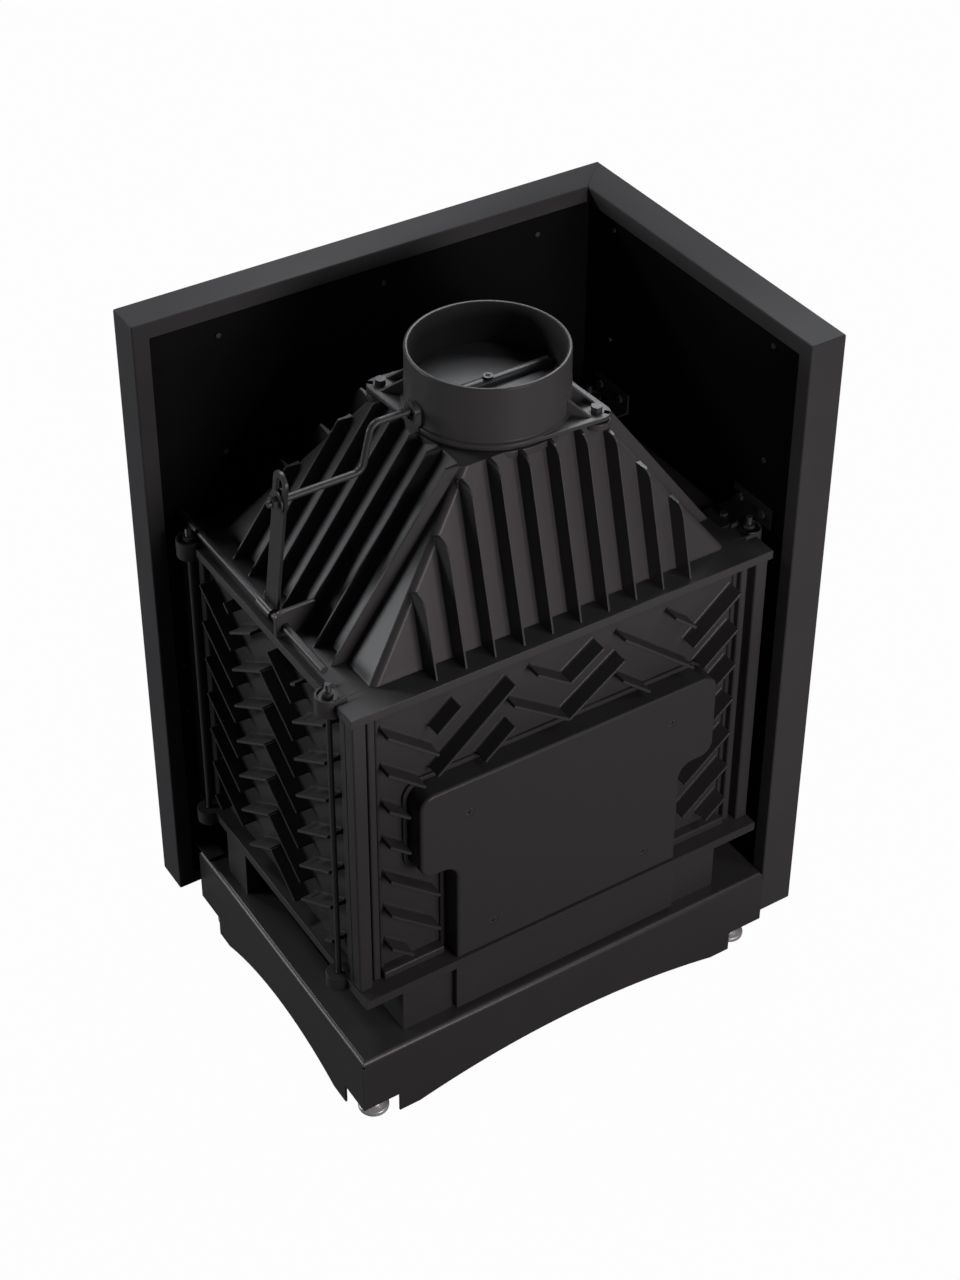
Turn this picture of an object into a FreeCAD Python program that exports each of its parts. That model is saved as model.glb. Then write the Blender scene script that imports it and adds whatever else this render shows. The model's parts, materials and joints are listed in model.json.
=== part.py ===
"""Corner fireplace insert: a cast body on a sheet stand, behind an L-shaped sheet steel surround.

Every piece is modelled about the flue axis, with the floor at z = 0, +Y to the rear, +X to the finned side.
At the end all pieces move together, so that the origin lies under the middle of the whole object.
"""
import FreeCAD
import Part

import math
import os

V = FreeCAD.Vector

# Heights above the floor, in millimetres
RIM_Z = 954.0
SPIGOT_STEP_Z = 912.0
DAMPER_Z = 898.0
HOOD_TOP_Z = 870.0
FLANGE_Z = (639.0, 652.0)
HEARTH_Z = (197.0, 211.0)
DECK_Z = (117.0, 120.0)
SKIRT_TIP_Z = 5.0
SKIRT_ARCH_Z = 31.0
SKIRT_NOTCH_Z = 35.0
FACADE_Z = (46.0, RIM_Z)
WINDOW_Z = (224.0, 616.0)
PULL_ROD_Z = 664.0

# Gaps: a cut reaches past a face by OVER, a shaft runs with SHAFT_PLAY all round, plain parts clear by FREE
OVER = 1.0
SHAFT_PLAY = 0.05
FREE = 0.4

# Flue collar: spigot, flange, two bolted ears with gussets, bosses for the damper shaft
SPIGOT_R = 98.5
COLLAR_R = 99.5
FLUE_BORE_R = 93.5
COLLAR_FLANGE_R = 108.0
COLLAR_FLANGE_H = 8.0
COLLAR_EAR = 92.0
COLLAR_EAR_R = 17.0
EAR_ROOT_R = 85.0
GUSSET_T = 5.0
GUSSET_H = 22.0
GUSSET_R = (96.0, 128.0)
BOSS_R = 12.0
BOSS_X = (90.0, 107.0)
COLLAR_BOLT_R = 4.0
COLLAR_WASHER = (9.0, 1.6)

# Butterfly damper and its bent shaft
SHAFT_R = 4.5
CRANK_R = 61.0
CRANK_BEND_X = (158.0, 172.0)
CRANK_BEND_R = 14.0
CRANK_TIP_X = 296.0
SHAFT_FAR_X = -106.0
DISC_R = 92.5
DISC_T = 4.0
DISC_SLEEVE_R = 9.0
DISC_SLEEVE_X = 86.0
CROSS_W = 1.5
CROSS_DEPTH = 1.8
CROSS_REACH = 3.8

# Push-pull control: a rod along Y, a slotted lever on it, and a knob at the front
PULL_ROD_X = 287.0
PULL_ROD_R = 5.0
PULL_ROD_Y = (-320.0, 105.0)
KNOB_FRONT_Y = -340.0
KNOB_R = 14.0
KNOB_GAP = 2.0
KNOB_HEAD_SHARE = 0.55
KNOB_NECK_SHARES = (0.55, 0.8)
KNOB_ROUND_SHARE = 0.3
LEVER_X = (278.0, 282.0)
LEVER_LEAN = 0.187
LEVER_W = 28.0
LEVER_FOOT = 8.0
LEVER_SLEEVE = (8.0, 16.0)
SLOT_HALF = 6.6
SLOT_TRAVEL = 28.0
SLOT_SLACK = 1.5
PIN_WASHER = (11.0, 1.8)
PIN_PLAY = 0.6
PIN_NUT = (14.0, 7.0)

# Cast body: hearth plate below, flanged hood above, tie rods at the corners
BODY_X = 300.0
FLANGE_Y = (-247.0, 186.0)
HEARTH_X = 298.0
HEARTH_Y = (-247.0, 199.0)
CHANNEL_X = 146.0
CHANNEL_Y = (168.0, 184.0)
HOOD_FOOT_X = 252.0
HOOD_FOOT_Y = (-215.0, 151.0)
HOOD_TOP_HALF = 95.0
HOOD_FOOT_R = 30.0
HOOD_TOP_R = 12.0
HOOD_WALL = 8.0
HIP_REACH = 60.0
HOOD_SEAT_R = 103.0
HOOD_SEAT_H = 10.0
RIB_T = 6.0
RIB_SINK = 4.0
REAR_RIB_H = 26.0
SIDE_RIB_H = 19.0
RIB_BELOW_EDGE = 6.0
RIB_ROUND_SHARE = 0.4
REAR_RIB_X = [20.0 + 40.0 * i for i in range(5)]
SIDE_RIB_Y = [88.0 - 40.0 * i for i in range(7)]
GUIDE_Y = (4.5, 11.5)
GUIDE_X = (246.0, 299.0)
GUIDE_TOP = 686.0
GUIDE_CHAMFER = 9.0
TIE_X = 300.0
TIE_Y = (-213.0, 135.0)
TIE_R = 4.0
TIE_HOLE_R = 4.5
TIE_Z = (180.0, 672.0)
TIE_WASHER_R = 12.0
TIE_WASHER_T = 2.0
TIE_NUT_ACROSS = 13.0
TIE_NUT_H = 7.0
LUG_R = 16.5
LUG_DEPTH = 20.0
LUG_ARM_X = 262.0
LUG_RIM_H = 5.0
LUG_RIM_R = 13.0
PLATE_X = 296.0
PLATE_T = 8.0
REAR_FACE_Y = 165.0
SIDE_FACE_X = 278.0
REAR_FIN_Y = 188.0
SIDE_FIN_X = 300.0
FIN_T = 5.0
REAR_COLUMNS = [((262.0, 272.0), 9.0), ((278.0, PLATE_X), 17.0)]
SIDE_COLUMNS = [((-235.0, -228.0), 14.0), ((-222.0, -208.0), 8.0), ((132.0, 157.0), 8.0)]
SILL = (260.0, 14.0, 12.0)
AIR_HOLE_Z = 440.0
AIR_HOLE_R = 9.0
AIR_HOLE_X = [-120.0 + 60.0 * i for i in range(5)]
FRAME_Y = (-247.0, -235.0)
FRAME_X = (-296.0, -284.0)
FRAME_WINDOW_X = 255.0
FRAME_WINDOW_Y = (-200.0, 118.0)
FRAME_WINDOW_Z = (240.0, 600.0)

# Herringbone fins of the rear plate: three columns on each half, and the field that they fill
FIN_SLOPE = math.tan(math.radians(40.0))
FIN_FIELD_X = 254.0
FIN_FIELD_Z = (241.0, 608.0)
OUTER_FIN_X = (184.0, 253.0)
OUTER_FIN_TOP = 606.0
OUTER_FIN_PITCH = 56.5
OUTER_FIN_COUNT = 7
MIDDLE_FIN_X = (78.0, 186.0)
MIDDLE_FIN_LOW = 452.0
MIDDLE_FIN_PITCH = 64.0
MIDDLE_FIN_COUNT = 3
INNER_FIN_X = (0.0, 80.0)
INNER_FIN_LOW = 518.0
INNER_FIN_PITCH = 56.0
INNER_FIN_COUNT = 2
INNER_FIN_SLOPE = 0.71

# Herringbone fins of the side plate: the same on both sides of a middle line
SIDE_FIN_MID_Y = -37.0
SIDE_FIN_COLUMN = 78.0
SIDE_FIN_RISE = 52.0
SIDE_FIN_PITCH = 58.4
SIDE_FIN_PEAK = 567.0
SIDE_FIN_OUTER_LOW = 545.0
SIDE_FIN_ROWS = range(-1, 7)
SIDE_FIN_FIELD_Z = (234.0, 612.0)

# Rear cover over the air channel: a wide head on a narrow stem
COVER_Y = 198.0
COVER_WALL = 4.0
COVER_HEAD_X = 217.0
COVER_STEM_X = 166.0
COVER_Z = (213.0, 500.0)
COVER_STEP_Z = 371.0
COVER_CORNER_R = 20.0
COVER_FIN_GAP = 7.0
COVER_SCREWS = [(149.0, 451.0), (114.0, 252.0)]
COVER_POST_R = 8.0
COVER_HEAD_R = 6.4
COVER_HEAD_H = 3.0
COVER_SHANK_R = 3.0

# Stand with four levelling feet
BASE_X = 312.0
BASE_Y = (-233.0, 210.0)
SHEET = 3.0
SKIRT_TIP_X = (230.0, 260.0)
SKIRT_TIP_REAR = (132.0, 162.0)
SKIRT_TIP_FRONT = (-183.0, -154.0)
RUNNER_X = (118.0, 142.0)
RUNNER_TOP = 123.6
FOOT_X = 282.0
FOOT_Y = (-204.0, 181.0)
FOOT_R = 20.0
FOOT_PAD_H = 7.0
FOOT_CONE = (15.0, 8.0, 8.0)
FOOT_NUT = (17.0, 9.0)
STUD_R = 5.0
STUD_TOP = 92.0
SHELF_Z = (60.0, 65.0)
SHELF_REACH = 28.0
SHELF_WEB_H = 30.0
LOCKNUT_H = 8.0

# Air chamber on the deck: half width and depth of its front, its widest and its rear step
AIR_PLAN = [(270.0, (-238.0, -177.0)), (294.0, (-177.0, -125.0)), (240.0, (-125.0, 188.0))]
AIR_FRONT_Y = -238.0
AIR_REAR_Y = 188.0
AIR_COVER_X = 167.0
AIR_COVER_Y = 197.0
AIR_COVER_Z = (125.0, 196.0)
AIR_CHANNEL_Z = (134.0, 190.0)

# Air slide: vents that line up with those of the air chamber after its travel
VENT_X = 172.0
VENT_PITCH = 36.0
VENT_W = 16.0
VENT_COUNT = 3
VENT_Z = (134.0, 146.0)
SLIDE_TRAVEL = 18.0
SLIDE_T = 3.0
SLIDE_Z = (130.0, 166.0)
SLIDE_MARGIN = 6.0
SLIDE_RAIL_X = (160.0, 270.0)
SLIDE_RAIL = (3.6, 6.0)
STEM_X = 216.0
STEM_Z = 156.0
STEM_R = 4.0
STEM_SLOT = (8.0, 6.0)
STEM_END_Y = -309.0
AIR_KNOB_R = 11.0
AIR_KNOB_FRONT_Y = -332.0

# Ash drawer
DRAWER_X = 150.0
DRAWER_Y = (-301.5, 60.0)
DRAWER_Z = (124.0, 184.0)
DRAWER_SHEET = 2.0
DRAWER_FRONT_X = 168.0
DRAWER_FRONT_T = 4.0
DRAWER_FRONT_Z = (118.0, 196.0)
DRAWER_HOLE_X = 156.0
DRAWER_HOLE_Z = (121.0, 188.0)
DRAWER_KNOB = (13.0, 30.0, 2.5)

# Surround: two folded panels that meet in a mitre, each with a lining sheet set back inside
FACADE_X = (-364.0, 336.0)
FACADE_Y = (-301.0, 207.0)
FACADE_DEPTH = 51.0
FACADE_SHEET = 2.5
FACADE_LIP = 22.0
LINING_SET_BACK = 10.0
LINING_T = 2.0
LINING_Y = FACADE_Y[0] + FACADE_DEPTH - LINING_SET_BACK
LINING_X = FACADE_X[0] + FACADE_DEPTH - LINING_SET_BACK
LINING_Z = (FACADE_Z[0] + FACADE_SHEET, FACADE_Z[1] - FACADE_SHEET)
LINING_MARGIN = 14.0
WINDOW_X = (-272.0, 272.0)
WINDOW_Y = (-215.0, 135.0)
WINDOW_RETURN = 37.0
ROD_HOLE_R = 6.5
LINING_HOLE_R = 8.0
SCREW_R = 3.5
SCREW_H = 2.5
FRONT_SCREW_X = (-242.0, 220.0)
FRONT_SCREW_Z = (80.0, 731.5, 901.0)
FRONT_EXTRA_SCREWS = [(-11.0, 901.0), (189.0, 690.0), (300.0, 421.0), (300.0, 345.0)]
SIDE_SCREW_Y = (-202.0, 128.0)
SIDE_SCREW_Z = (80.0, 744.5, 910.0)

# Angles that carry the surround, on the hood's flange and on the stand's deck
ANGLE_T = 3.0
ANGLE_LEG = 30.0
FLANGE_ANGLE_X = 160.0
FLANGE_ANGLE_W = 28.0
FLANGE_ANGLE_Y = -221.0
DECK_ANGLE_X = 298.0
DECK_ANGLE_W = 24.0
DECK_ANGLE_Y = -206.0
SIDE_FOOT_Y = [(76.0, 117.0), (-195.0, -154.0)]
SIDE_LEG_Y = [(76.0, 152.0), (-230.0, -154.0)]
SIDE_FOOT_X = -274.0
SIDE_DECK_Y = [(60.0, 100.0), (-120.0, -80.0)]
SIDE_DECK_X = -297.0
BOLT = (10.0, 4.0)
BOLT_Z = 669.0
BOLT_INSET = 16.0

# Glazed side: a deep frame in the window, with a narrower neck between the tie rods
BEZEL_GAP = 3.0
BEZEL_BAR = 34.0
BEZEL_NECK_X = -322.0
BEZEL_NECK_INSET = 7.0
BEZEL_FRONT = 1.0
SIDE_GLASS_X = -346.0
GLASS_T = 4.0
GLASS_SEAT = 12.0
GLASS_PLAY = 1.0

# Door
DOOR_X = (-268.0, 268.0)
DOOR_Y = (-299.0, -258.0)
DOOR_Z = (228.0, 612.0)
DOOR_BAR = 42.0
DOOR_SEAT = 32.0
DOOR_STEP = 24.0
DOOR_GLASS_Y = -284.0
SEAL_EDGE = (10.0, 22.0)
SEAL_GAP = 0.6
CLIP_X = (-150.0, 0.0, 150.0)
CLIP_W = 30.0
CLIP_T = 2.0
CLIP_EDGE = (25.0, 47.0)
CLIP_SCREW = (28.5, 3.5, 3.0)
HINGE_X = 270.0
HINGE_Y = -308.0
HINGE_R = 7.0
HINGE_PIN_R = 4.0
HINGE_Z = (290.0, 550.0)
HINGE_H = 30.0
HINGE_LEAF = (38.0, 4.5)
HANDLE_X = -254.0
HANDLE_Z = 420.0
HUB = (13.0, 14.0)
HANDLE_SHAFT_R = 5.0
HANDLE_NECK_R = 6.0
GRIP_Y = -327.0
GRIP_R = 9.0
GRIP_Z = (300.0, 434.0)
GRIP_FILLET = 4.0
TONGUE_Y = (-276.0, -271.0)
TONGUE_HALF = 5.0
TONGUE_REACH = 36.0
POCKET_PLAY = 3.0
KEEPER_Z = (411.0, 459.0)

# Fire chamber
LINING_REAR_Y = (128.0, 156.0)
LINING_SIDE_X = (240.0, 269.0)
SLAB_Z = (236.0, 600.0)
REAR_SLAB_X = -263.0
SIDE_SLAB_Y = -220.0
HEARTH_SLAB_X = (-283.0, 269.0)
HEARTH_SLAB_Y = (-234.0, 156.0)
GRATE_X = (-120.0, 100.0)
GRATE_Y = (-120.0, 70.0)
GRATE_T = 14.0
GRATE_PLAY = 1.5
GRATE_LEDGE = 10.0
GRATE_BARS = (9, 20.0, 10.0, 22.0, 18.0)
BAFFLE_X = (-258.0, 266.0)
BAFFLE_Y = (-120.0, 154.0)
BAFFLE_T = 25.0
GUARD_H = 38.0
GUARD_T = 6.0
GUARD_X = (-272.0, 238.0)
GUARD_Y = (-228.0, 124.0)


def box(x, y, z):
    """A block between two limits on each axis."""
    return Part.makeBox(x[1] - x[0], y[1] - y[0], z[1] - z[0], V(x[0], y[0], z[0]))


def both_ways(half):
    """The limits of a span about zero."""
    return (-half, half)


def grown(span, by):
    """A span that reaches further at both ends."""
    return (span[0] - by, span[1] + by)


def rod(start, end, radius):
    """A round bar between two points."""
    a = V(*start)
    along = V(*end) - a
    return Part.makeCylinder(radius, along.Length, a, along)


def upright(x, y, z, radius):
    """A round bar along Z."""
    return rod((x, y, z[0]), (x, y, z[1]), radius)


def prism(points, along):
    """A closed outline of straight lines, drawn out along a vector."""
    corners = [V(*p) for p in points]
    outline = Part.makePolygon(corners + [corners[0]])
    return Part.Face(outline).extrude(V(*along))


def joined(shapes):
    """Several overlapping shapes as one solid."""
    return shapes[0].fuse(shapes[1:]).removeSplitter()


def group(shapes):
    """Separate solids that belong to one node."""
    return Part.makeCompound(shapes)


def in_x(shape):
    """The mirror image of a shape across the plane x = 0."""
    return shape.mirror(V(0, 0, 0), V(1, 0, 0))


def hexagon(center, along, across, height):
    """A hexagonal nut or bolt head that stands on a point and reaches along a vector."""
    direction = V(*along).normalize()
    side = V(0, 0, 1) if abs(direction.z) < 0.5 else V(1, 0, 0)
    other = direction.cross(side)
    reach = across / math.sqrt(3.0)
    corners = []
    for i in range(6):
        angle = math.radians(60.0 * i)
        corners.append(V(*center) + side * (reach * math.cos(angle)) + other * (reach * math.sin(angle)))
    return prism(corners, direction * height)


def rounded_rectangle(x, y, z, radius):
    """A level outline of four lines and four quarter circles."""
    arcs = []
    for cx, cy, turn in ((x[1], y[1], 0), (x[0], y[1], 90), (x[0], y[0], 180), (x[1], y[0], 270)):
        inward_x = -radius if turn in (0, 270) else radius
        inward_y = -radius if turn in (0, 90) else radius
        middle = V(cx + inward_x, cy + inward_y, z)
        angles = [math.radians(turn + step) for step in (0, 45, 90)]
        arcs.append([middle + V(radius * math.cos(a), radius * math.sin(a), 0) for a in angles])
    edges = []
    for i, arc in enumerate(arcs):
        edges.append(Part.Arc(*arc).toShape())
        edges.append(Part.LineSegment(arc[2], arcs[(i + 1) % 4][0]).toShape())
    return Part.Wire(edges)


def bent_rod(points, bend_radius, radius):
    """A round bar along straight runs that are joined by tangent arcs."""
    corners = [V(*p) for p in points]
    edges = []
    start = corners[0]
    for before, corner, after in zip(corners, corners[1:], corners[2:]):
        back = (before - corner).normalize()
        ahead = (after - corner).normalize()
        half = back.getAngle(ahead) / 2.0
        trim = bend_radius / math.tan(half)
        middle = (back + ahead).normalize()
        centre = corner + middle * (bend_radius / math.sin(half))
        first = corner + back * trim
        last = corner + ahead * trim
        edges.append(Part.LineSegment(start, first).toShape())
        edges.append(Part.Arc(first, centre - middle * bend_radius, last).toShape())
        start = last
    edges.append(Part.LineSegment(start, corners[-1]).toShape())
    section = Part.Wire(Part.makeCircle(radius, corners[0], corners[1] - corners[0]))
    return Part.Wire(edges).makePipeShell([section], True, True)


def cross_recess(center, along):
    """The cut of a cross-head driver in a screw whose top is at a point, facing along X, Y or Z."""
    arms = []
    for arm in range(3):
        if along[arm]:
            continue
        size = [CROSS_W / 2.0] * 3
        size[arm] = CROSS_REACH
        limits = []
        for i in range(3):
            if along[i]:
                limits.append((center[i] - CROSS_DEPTH, center[i] + OVER))
            else:
                limits.append((center[i] - size[i], center[i] + size[i]))
        arms.append(box(*limits))
    return joined(arms)


def skirt(along, notch_ends, arch_ends, place):
    """The outline of one wall of the stand: an arched lower edge between two tips, notched at the corners."""
    low, high = along
    middle = (arch_ends[0] + arch_ends[1]) / 2.0
    left = [(high, DECK_Z[1]), (low, DECK_Z[1]), (low, SKIRT_NOTCH_Z), (notch_ends[0], SKIRT_NOTCH_Z)]
    left += [(notch_ends[0], SKIRT_TIP_Z), (arch_ends[0], SKIRT_TIP_Z)]
    right = [(arch_ends[1], SKIRT_TIP_Z), (notch_ends[1], SKIRT_TIP_Z), (notch_ends[1], SKIRT_NOTCH_Z)]
    right += [(high, SKIRT_NOTCH_Z), (high, DECK_Z[1])]
    edges = []
    for a, b in zip(left, left[1:]):
        edges.append(Part.LineSegment(V(*place(*a)), V(*place(*b))).toShape())
    arch = [place(*left[-1]), place(middle, SKIRT_ARCH_Z), place(*right[0])]
    edges.append(Part.Arc(*[V(*p) for p in arch]).toShape())
    for a, b in zip(right, right[1:]):
        edges.append(Part.LineSegment(V(*place(*a)), V(*place(*b))).toShape())
    return Part.Face(Part.Wire(edges))


def base_frame():
    """Folded sheet stand: a deck with four skirts, and two runners for the ash drawer."""
    tips_y = (SKIRT_TIP_FRONT[0], SKIRT_TIP_REAR[1])
    arch_y = (SKIRT_TIP_FRONT[1], SKIRT_TIP_REAR[0])
    pieces = [box(both_ways(BASE_X), BASE_Y, DECK_Z)]
    for y in (BASE_Y[0], BASE_Y[1] - SHEET):
        outline = skirt(both_ways(BASE_X), both_ways(SKIRT_TIP_X[1]), both_ways(SKIRT_TIP_X[0]),
                        lambda a, z, y=y: (a, y, z))
        pieces.append(outline.extrude(V(0, SHEET, 0)))
    for x in (-BASE_X, BASE_X - SHEET):
        outline = skirt(BASE_Y, tips_y, arch_y, lambda a, z, x=x: (x, a, z))
        pieces.append(outline.extrude(V(SHEET, 0, 0)))
    runner = box(RUNNER_X, (BASE_Y[0], DRAWER_Y[1]), (DECK_Z[0], RUNNER_TOP))
    return joined(pieces + [runner, in_x(runner)])


def foot_places():
    """The four foot positions, rear ones first."""
    return [(FOOT_X, FOOT_Y[1]), (-FOOT_X, FOOT_Y[1]), (-FOOT_X, FOOT_Y[0]), (FOOT_X, FOOT_Y[0])]


def stud_hole(x, y):
    """The running hole for a foot's stud."""
    return upright(x, y, (0, STUD_TOP), STUD_R + SHAFT_PLAY)


def foot_brackets():
    """A shelf and a web in each corner of the stand, drilled for the foot's stud."""
    brackets = []
    for x, y in foot_places():
        side = math.copysign(1.0, x)
        wall_x = side * (BASE_X - SHEET)
        wall_y = BASE_Y[1] - SHEET if y > 0 else BASE_Y[0] + SHEET
        span_x = sorted((wall_x, x - side * SHELF_REACH))
        span_y = sorted((wall_y, y - math.copysign(SHELF_REACH, y)))
        shelf = box(span_x, span_y, SHELF_Z)
        web_x = sorted((wall_x, wall_x - side * SHEET))
        web = box(web_x, span_y, (SHELF_Z[1], SHELF_Z[1] + SHELF_WEB_H))
        brackets.append(joined([shelf, web]).cut(stud_hole(x, y)))
    return group(brackets)


def foot_locknuts():
    """One nut above each bracket."""
    nuts = []
    for x, y in foot_places():
        nut = hexagon((x, y, SHELF_Z[1]), (0, 0, 1), FOOT_NUT[0], LOCKNUT_H)
        nuts.append(nut.cut(stud_hole(x, y)))
    return group(nuts)


def levelling_foot(x, y):
    """A round pad with a cone, a hexagon and a stud."""
    foot_r, head_r, cone_h = FOOT_CONE
    nut_z = FOOT_PAD_H + cone_h
    pad = upright(x, y, (0, FOOT_PAD_H), FOOT_R)
    cone = Part.makeCone(foot_r, head_r, cone_h, V(x, y, FOOT_PAD_H), V(0, 0, 1))
    nut = hexagon((x, y, nut_z), (0, 0, 1), *FOOT_NUT)
    stud = upright(x, y, (nut_z, STUD_TOP), STUD_R)
    return joined([pad, cone, nut, stud])


def vents(first, count, y):
    """A row of equal vents through a plate."""
    starts = [first + VENT_PITCH * i for i in range(count)]
    return [box((x, x + VENT_W), grown(y, OVER), VENT_Z) for x in starts]


def air_box():
    """Open sheet walls between deck and hearth plate, with vents, slide rails and the drawer's opening."""
    z = (DECK_Z[1], HEARTH_Z[0])
    (front_half, front_y), (wide_half, wide_y), (rear_half, rear_y) = AIR_PLAN
    outside = joined([box(both_ways(half), y, z) for half, y in AIR_PLAN])
    hollow = [box(both_ways(front_half - SHEET), (front_y[0] + SHEET, wide_y[0] + SHEET), z),
              box(both_ways(wide_half - SHEET), (wide_y[0] + SHEET, wide_y[1] - SHEET), z),
              box(both_ways(rear_half - SHEET), (wide_y[1] - SHEET, rear_y[1] - SHEET), z)]
    front = (AIR_FRONT_Y, AIR_FRONT_Y + SHEET)
    rear = (AIR_REAR_Y - SHEET, AIR_REAR_Y)
    holes = [box(both_ways(DRAWER_HOLE_X), grown(front, OVER), DRAWER_HOLE_Z),
             box(both_ways(CHANNEL_X), grown(rear, OVER), AIR_CHANNEL_Z)]
    walls = outside.cut(hollow + holes + vents(VENT_X, VENT_COUNT, front))
    rail_h, rail_out = SLIDE_RAIL
    rails = []
    for low in (SLIDE_Z[0] - FREE - rail_h, SLIDE_Z[1] + FREE):
        rails.append(box(SLIDE_RAIL_X, (AIR_FRONT_Y - rail_out, front[1]), (low, low + rail_h)))
    return joined([walls] + rails)


def air_box_cover():
    """Shallow pan that closes the rear of the air chamber."""
    outside = box(both_ways(AIR_COVER_X), (AIR_REAR_Y, AIR_COVER_Y), AIR_COVER_Z)
    inside_y = (AIR_REAR_Y, AIR_COVER_Y - SHEET)
    inside = box(both_ways(AIR_COVER_X - SHEET), inside_y, grown(AIR_COVER_Z, -SHEET))
    return outside.cut(inside)


def tie_places():
    """The four tie rod positions."""
    return [(x, y) for x in (-TIE_X, TIE_X) for y in TIE_Y]


def lug_arm(x):
    """The span of a lug's arm, from the plate out to the tie rod."""
    return sorted((math.copysign(LUG_ARM_X, x), x))


def lugs(z_top, plate_h):
    """Round ears with a short arm at the four tie rods."""
    ears = []
    for x, y in tie_places():
        ears.append(upright(x, y, (z_top - LUG_DEPTH, z_top), LUG_R))
        ears.append(box(lug_arm(x), grown((y, y), LUG_R), (z_top - plate_h, z_top)))
    return ears


def lug_rims(z_top):
    """Low U-shaped walls around the tie rod nuts, open towards the hood."""
    rims = []
    z = (z_top - OVER, z_top + LUG_RIM_H)
    for x, y in tie_places():
        inner = sorted((math.copysign(LUG_ARM_X - OVER, x), x))
        outer = joined([upright(x, y, z, LUG_R), box(lug_arm(x), grown((y, y), LUG_R), z)])
        hollow_z = (z_top, z[1] + OVER)
        hollow = joined([upright(x, y, hollow_z, LUG_RIM_R), box(inner, grown((y, y), LUG_RIM_R), hollow_z)])
        rims.append(outer.cut(hollow))
    return rims


def lug_clearance():
    """Room for the hanging part of the hood's lugs."""
    z = (FLANGE_Z[1] - LUG_DEPTH - FREE, FLANGE_Z[0])
    return [upright(x, y, z, LUG_R + FREE) for x, y in tie_places()]


def tie_holes():
    """The four clearance holes for the tie rods."""
    return [upright(x, y, (0, RIM_Z), TIE_HOLE_R) for x, y in tie_places()]


def bottom_plate():
    """Hearth plate with the grate opening, the air channel slot and tie rod ears."""
    plate = box(both_ways(HEARTH_X), HEARTH_Y, HEARTH_Z)
    body = joined([plate] + lugs(HEARTH_Z[1], HEARTH_Z[1] - HEARTH_Z[0]))
    ash_hole = box(grown(GRATE_X, -GRATE_LEDGE), grown(GRATE_Y, -GRATE_LEDGE), HEARTH_Z)
    channel = box(both_ways(CHANNEL_X), CHANNEL_Y, HEARTH_Z)
    return body.cut([ash_hole, channel] + tie_holes())


def fin_between(start, end, place, along):
    """A straight fin from one point of a wall to another, standing off the wall along a vector."""
    run = (end[0] - start[0], end[1] - start[1])
    half = FIN_T / 2.0 / math.hypot(*run)
    side = (-run[1] * half, run[0] * half)
    corners = []
    for point, sign in ((start, 1), (end, 1), (end, -1), (start, -1)):
        corners.append(place(point[0] + sign * side[0], point[1] + sign * side[1]))
    return prism(corners, along)


def rear_fin_lines():
    """Both ends of each fin on the right half of the rear plate, as x and height."""
    lines = []
    inner, outer = OUTER_FIN_X
    for i in range(OUTER_FIN_COUNT):
        top = OUTER_FIN_TOP - OUTER_FIN_PITCH * i
        lines.append(((outer, top), (inner, top - (outer - inner) * FIN_SLOPE)))
    inner, outer = MIDDLE_FIN_X
    for i in range(MIDDLE_FIN_COUNT):
        low = MIDDLE_FIN_LOW + MIDDLE_FIN_PITCH * i
        lines.append(((outer, low), (inner, low + (outer - inner) * FIN_SLOPE)))
    inner, outer = INNER_FIN_X
    for i in range(INNER_FIN_COUNT):
        low = INNER_FIN_LOW + INNER_FIN_PITCH * i
        lines.append(((inner, low), (outer, low + (outer - inner) * INNER_FIN_SLOPE)))
    return lines


def cover_outline(margin, y):
    """The stepped outline of the rear cover, grown outwards by a margin."""
    head = COVER_HEAD_X + margin
    stem = COVER_STEM_X + margin
    top = COVER_Z[1] + margin
    step = COVER_STEP_Z - margin
    low = COVER_Z[0]
    r = COVER_CORNER_R + margin
    q = COVER_CORNER_R
    c = 1.0 - math.sqrt(0.5)
    half = [((0, top), (head - r, top)),
            ((head - r, top), (head - r * c, top - r * c), (head, top - r)),
            ((head, top - r), (head, step + r)),
            ((head, step + r), (head - r * c, step + r * c), (head - r, step)),
            ((head - r, step), (stem + q, step)),
            ((stem + q, step), (stem + q * c, step - q * c), (stem, step - q)),
            ((stem, step - q), (stem, low)),
            ((stem, low), (0, low))]
    edges = []
    for sign in (1, -1):
        for points in half:
            places = [V(sign * x, y, z) for x, z in points]
            curve = Part.LineSegment if len(places) == 2 else Part.Arc
            edges.append(curve(*places).toShape())
    return Part.Face(Part.Wire(Part.__sortEdges__(edges)))


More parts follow.
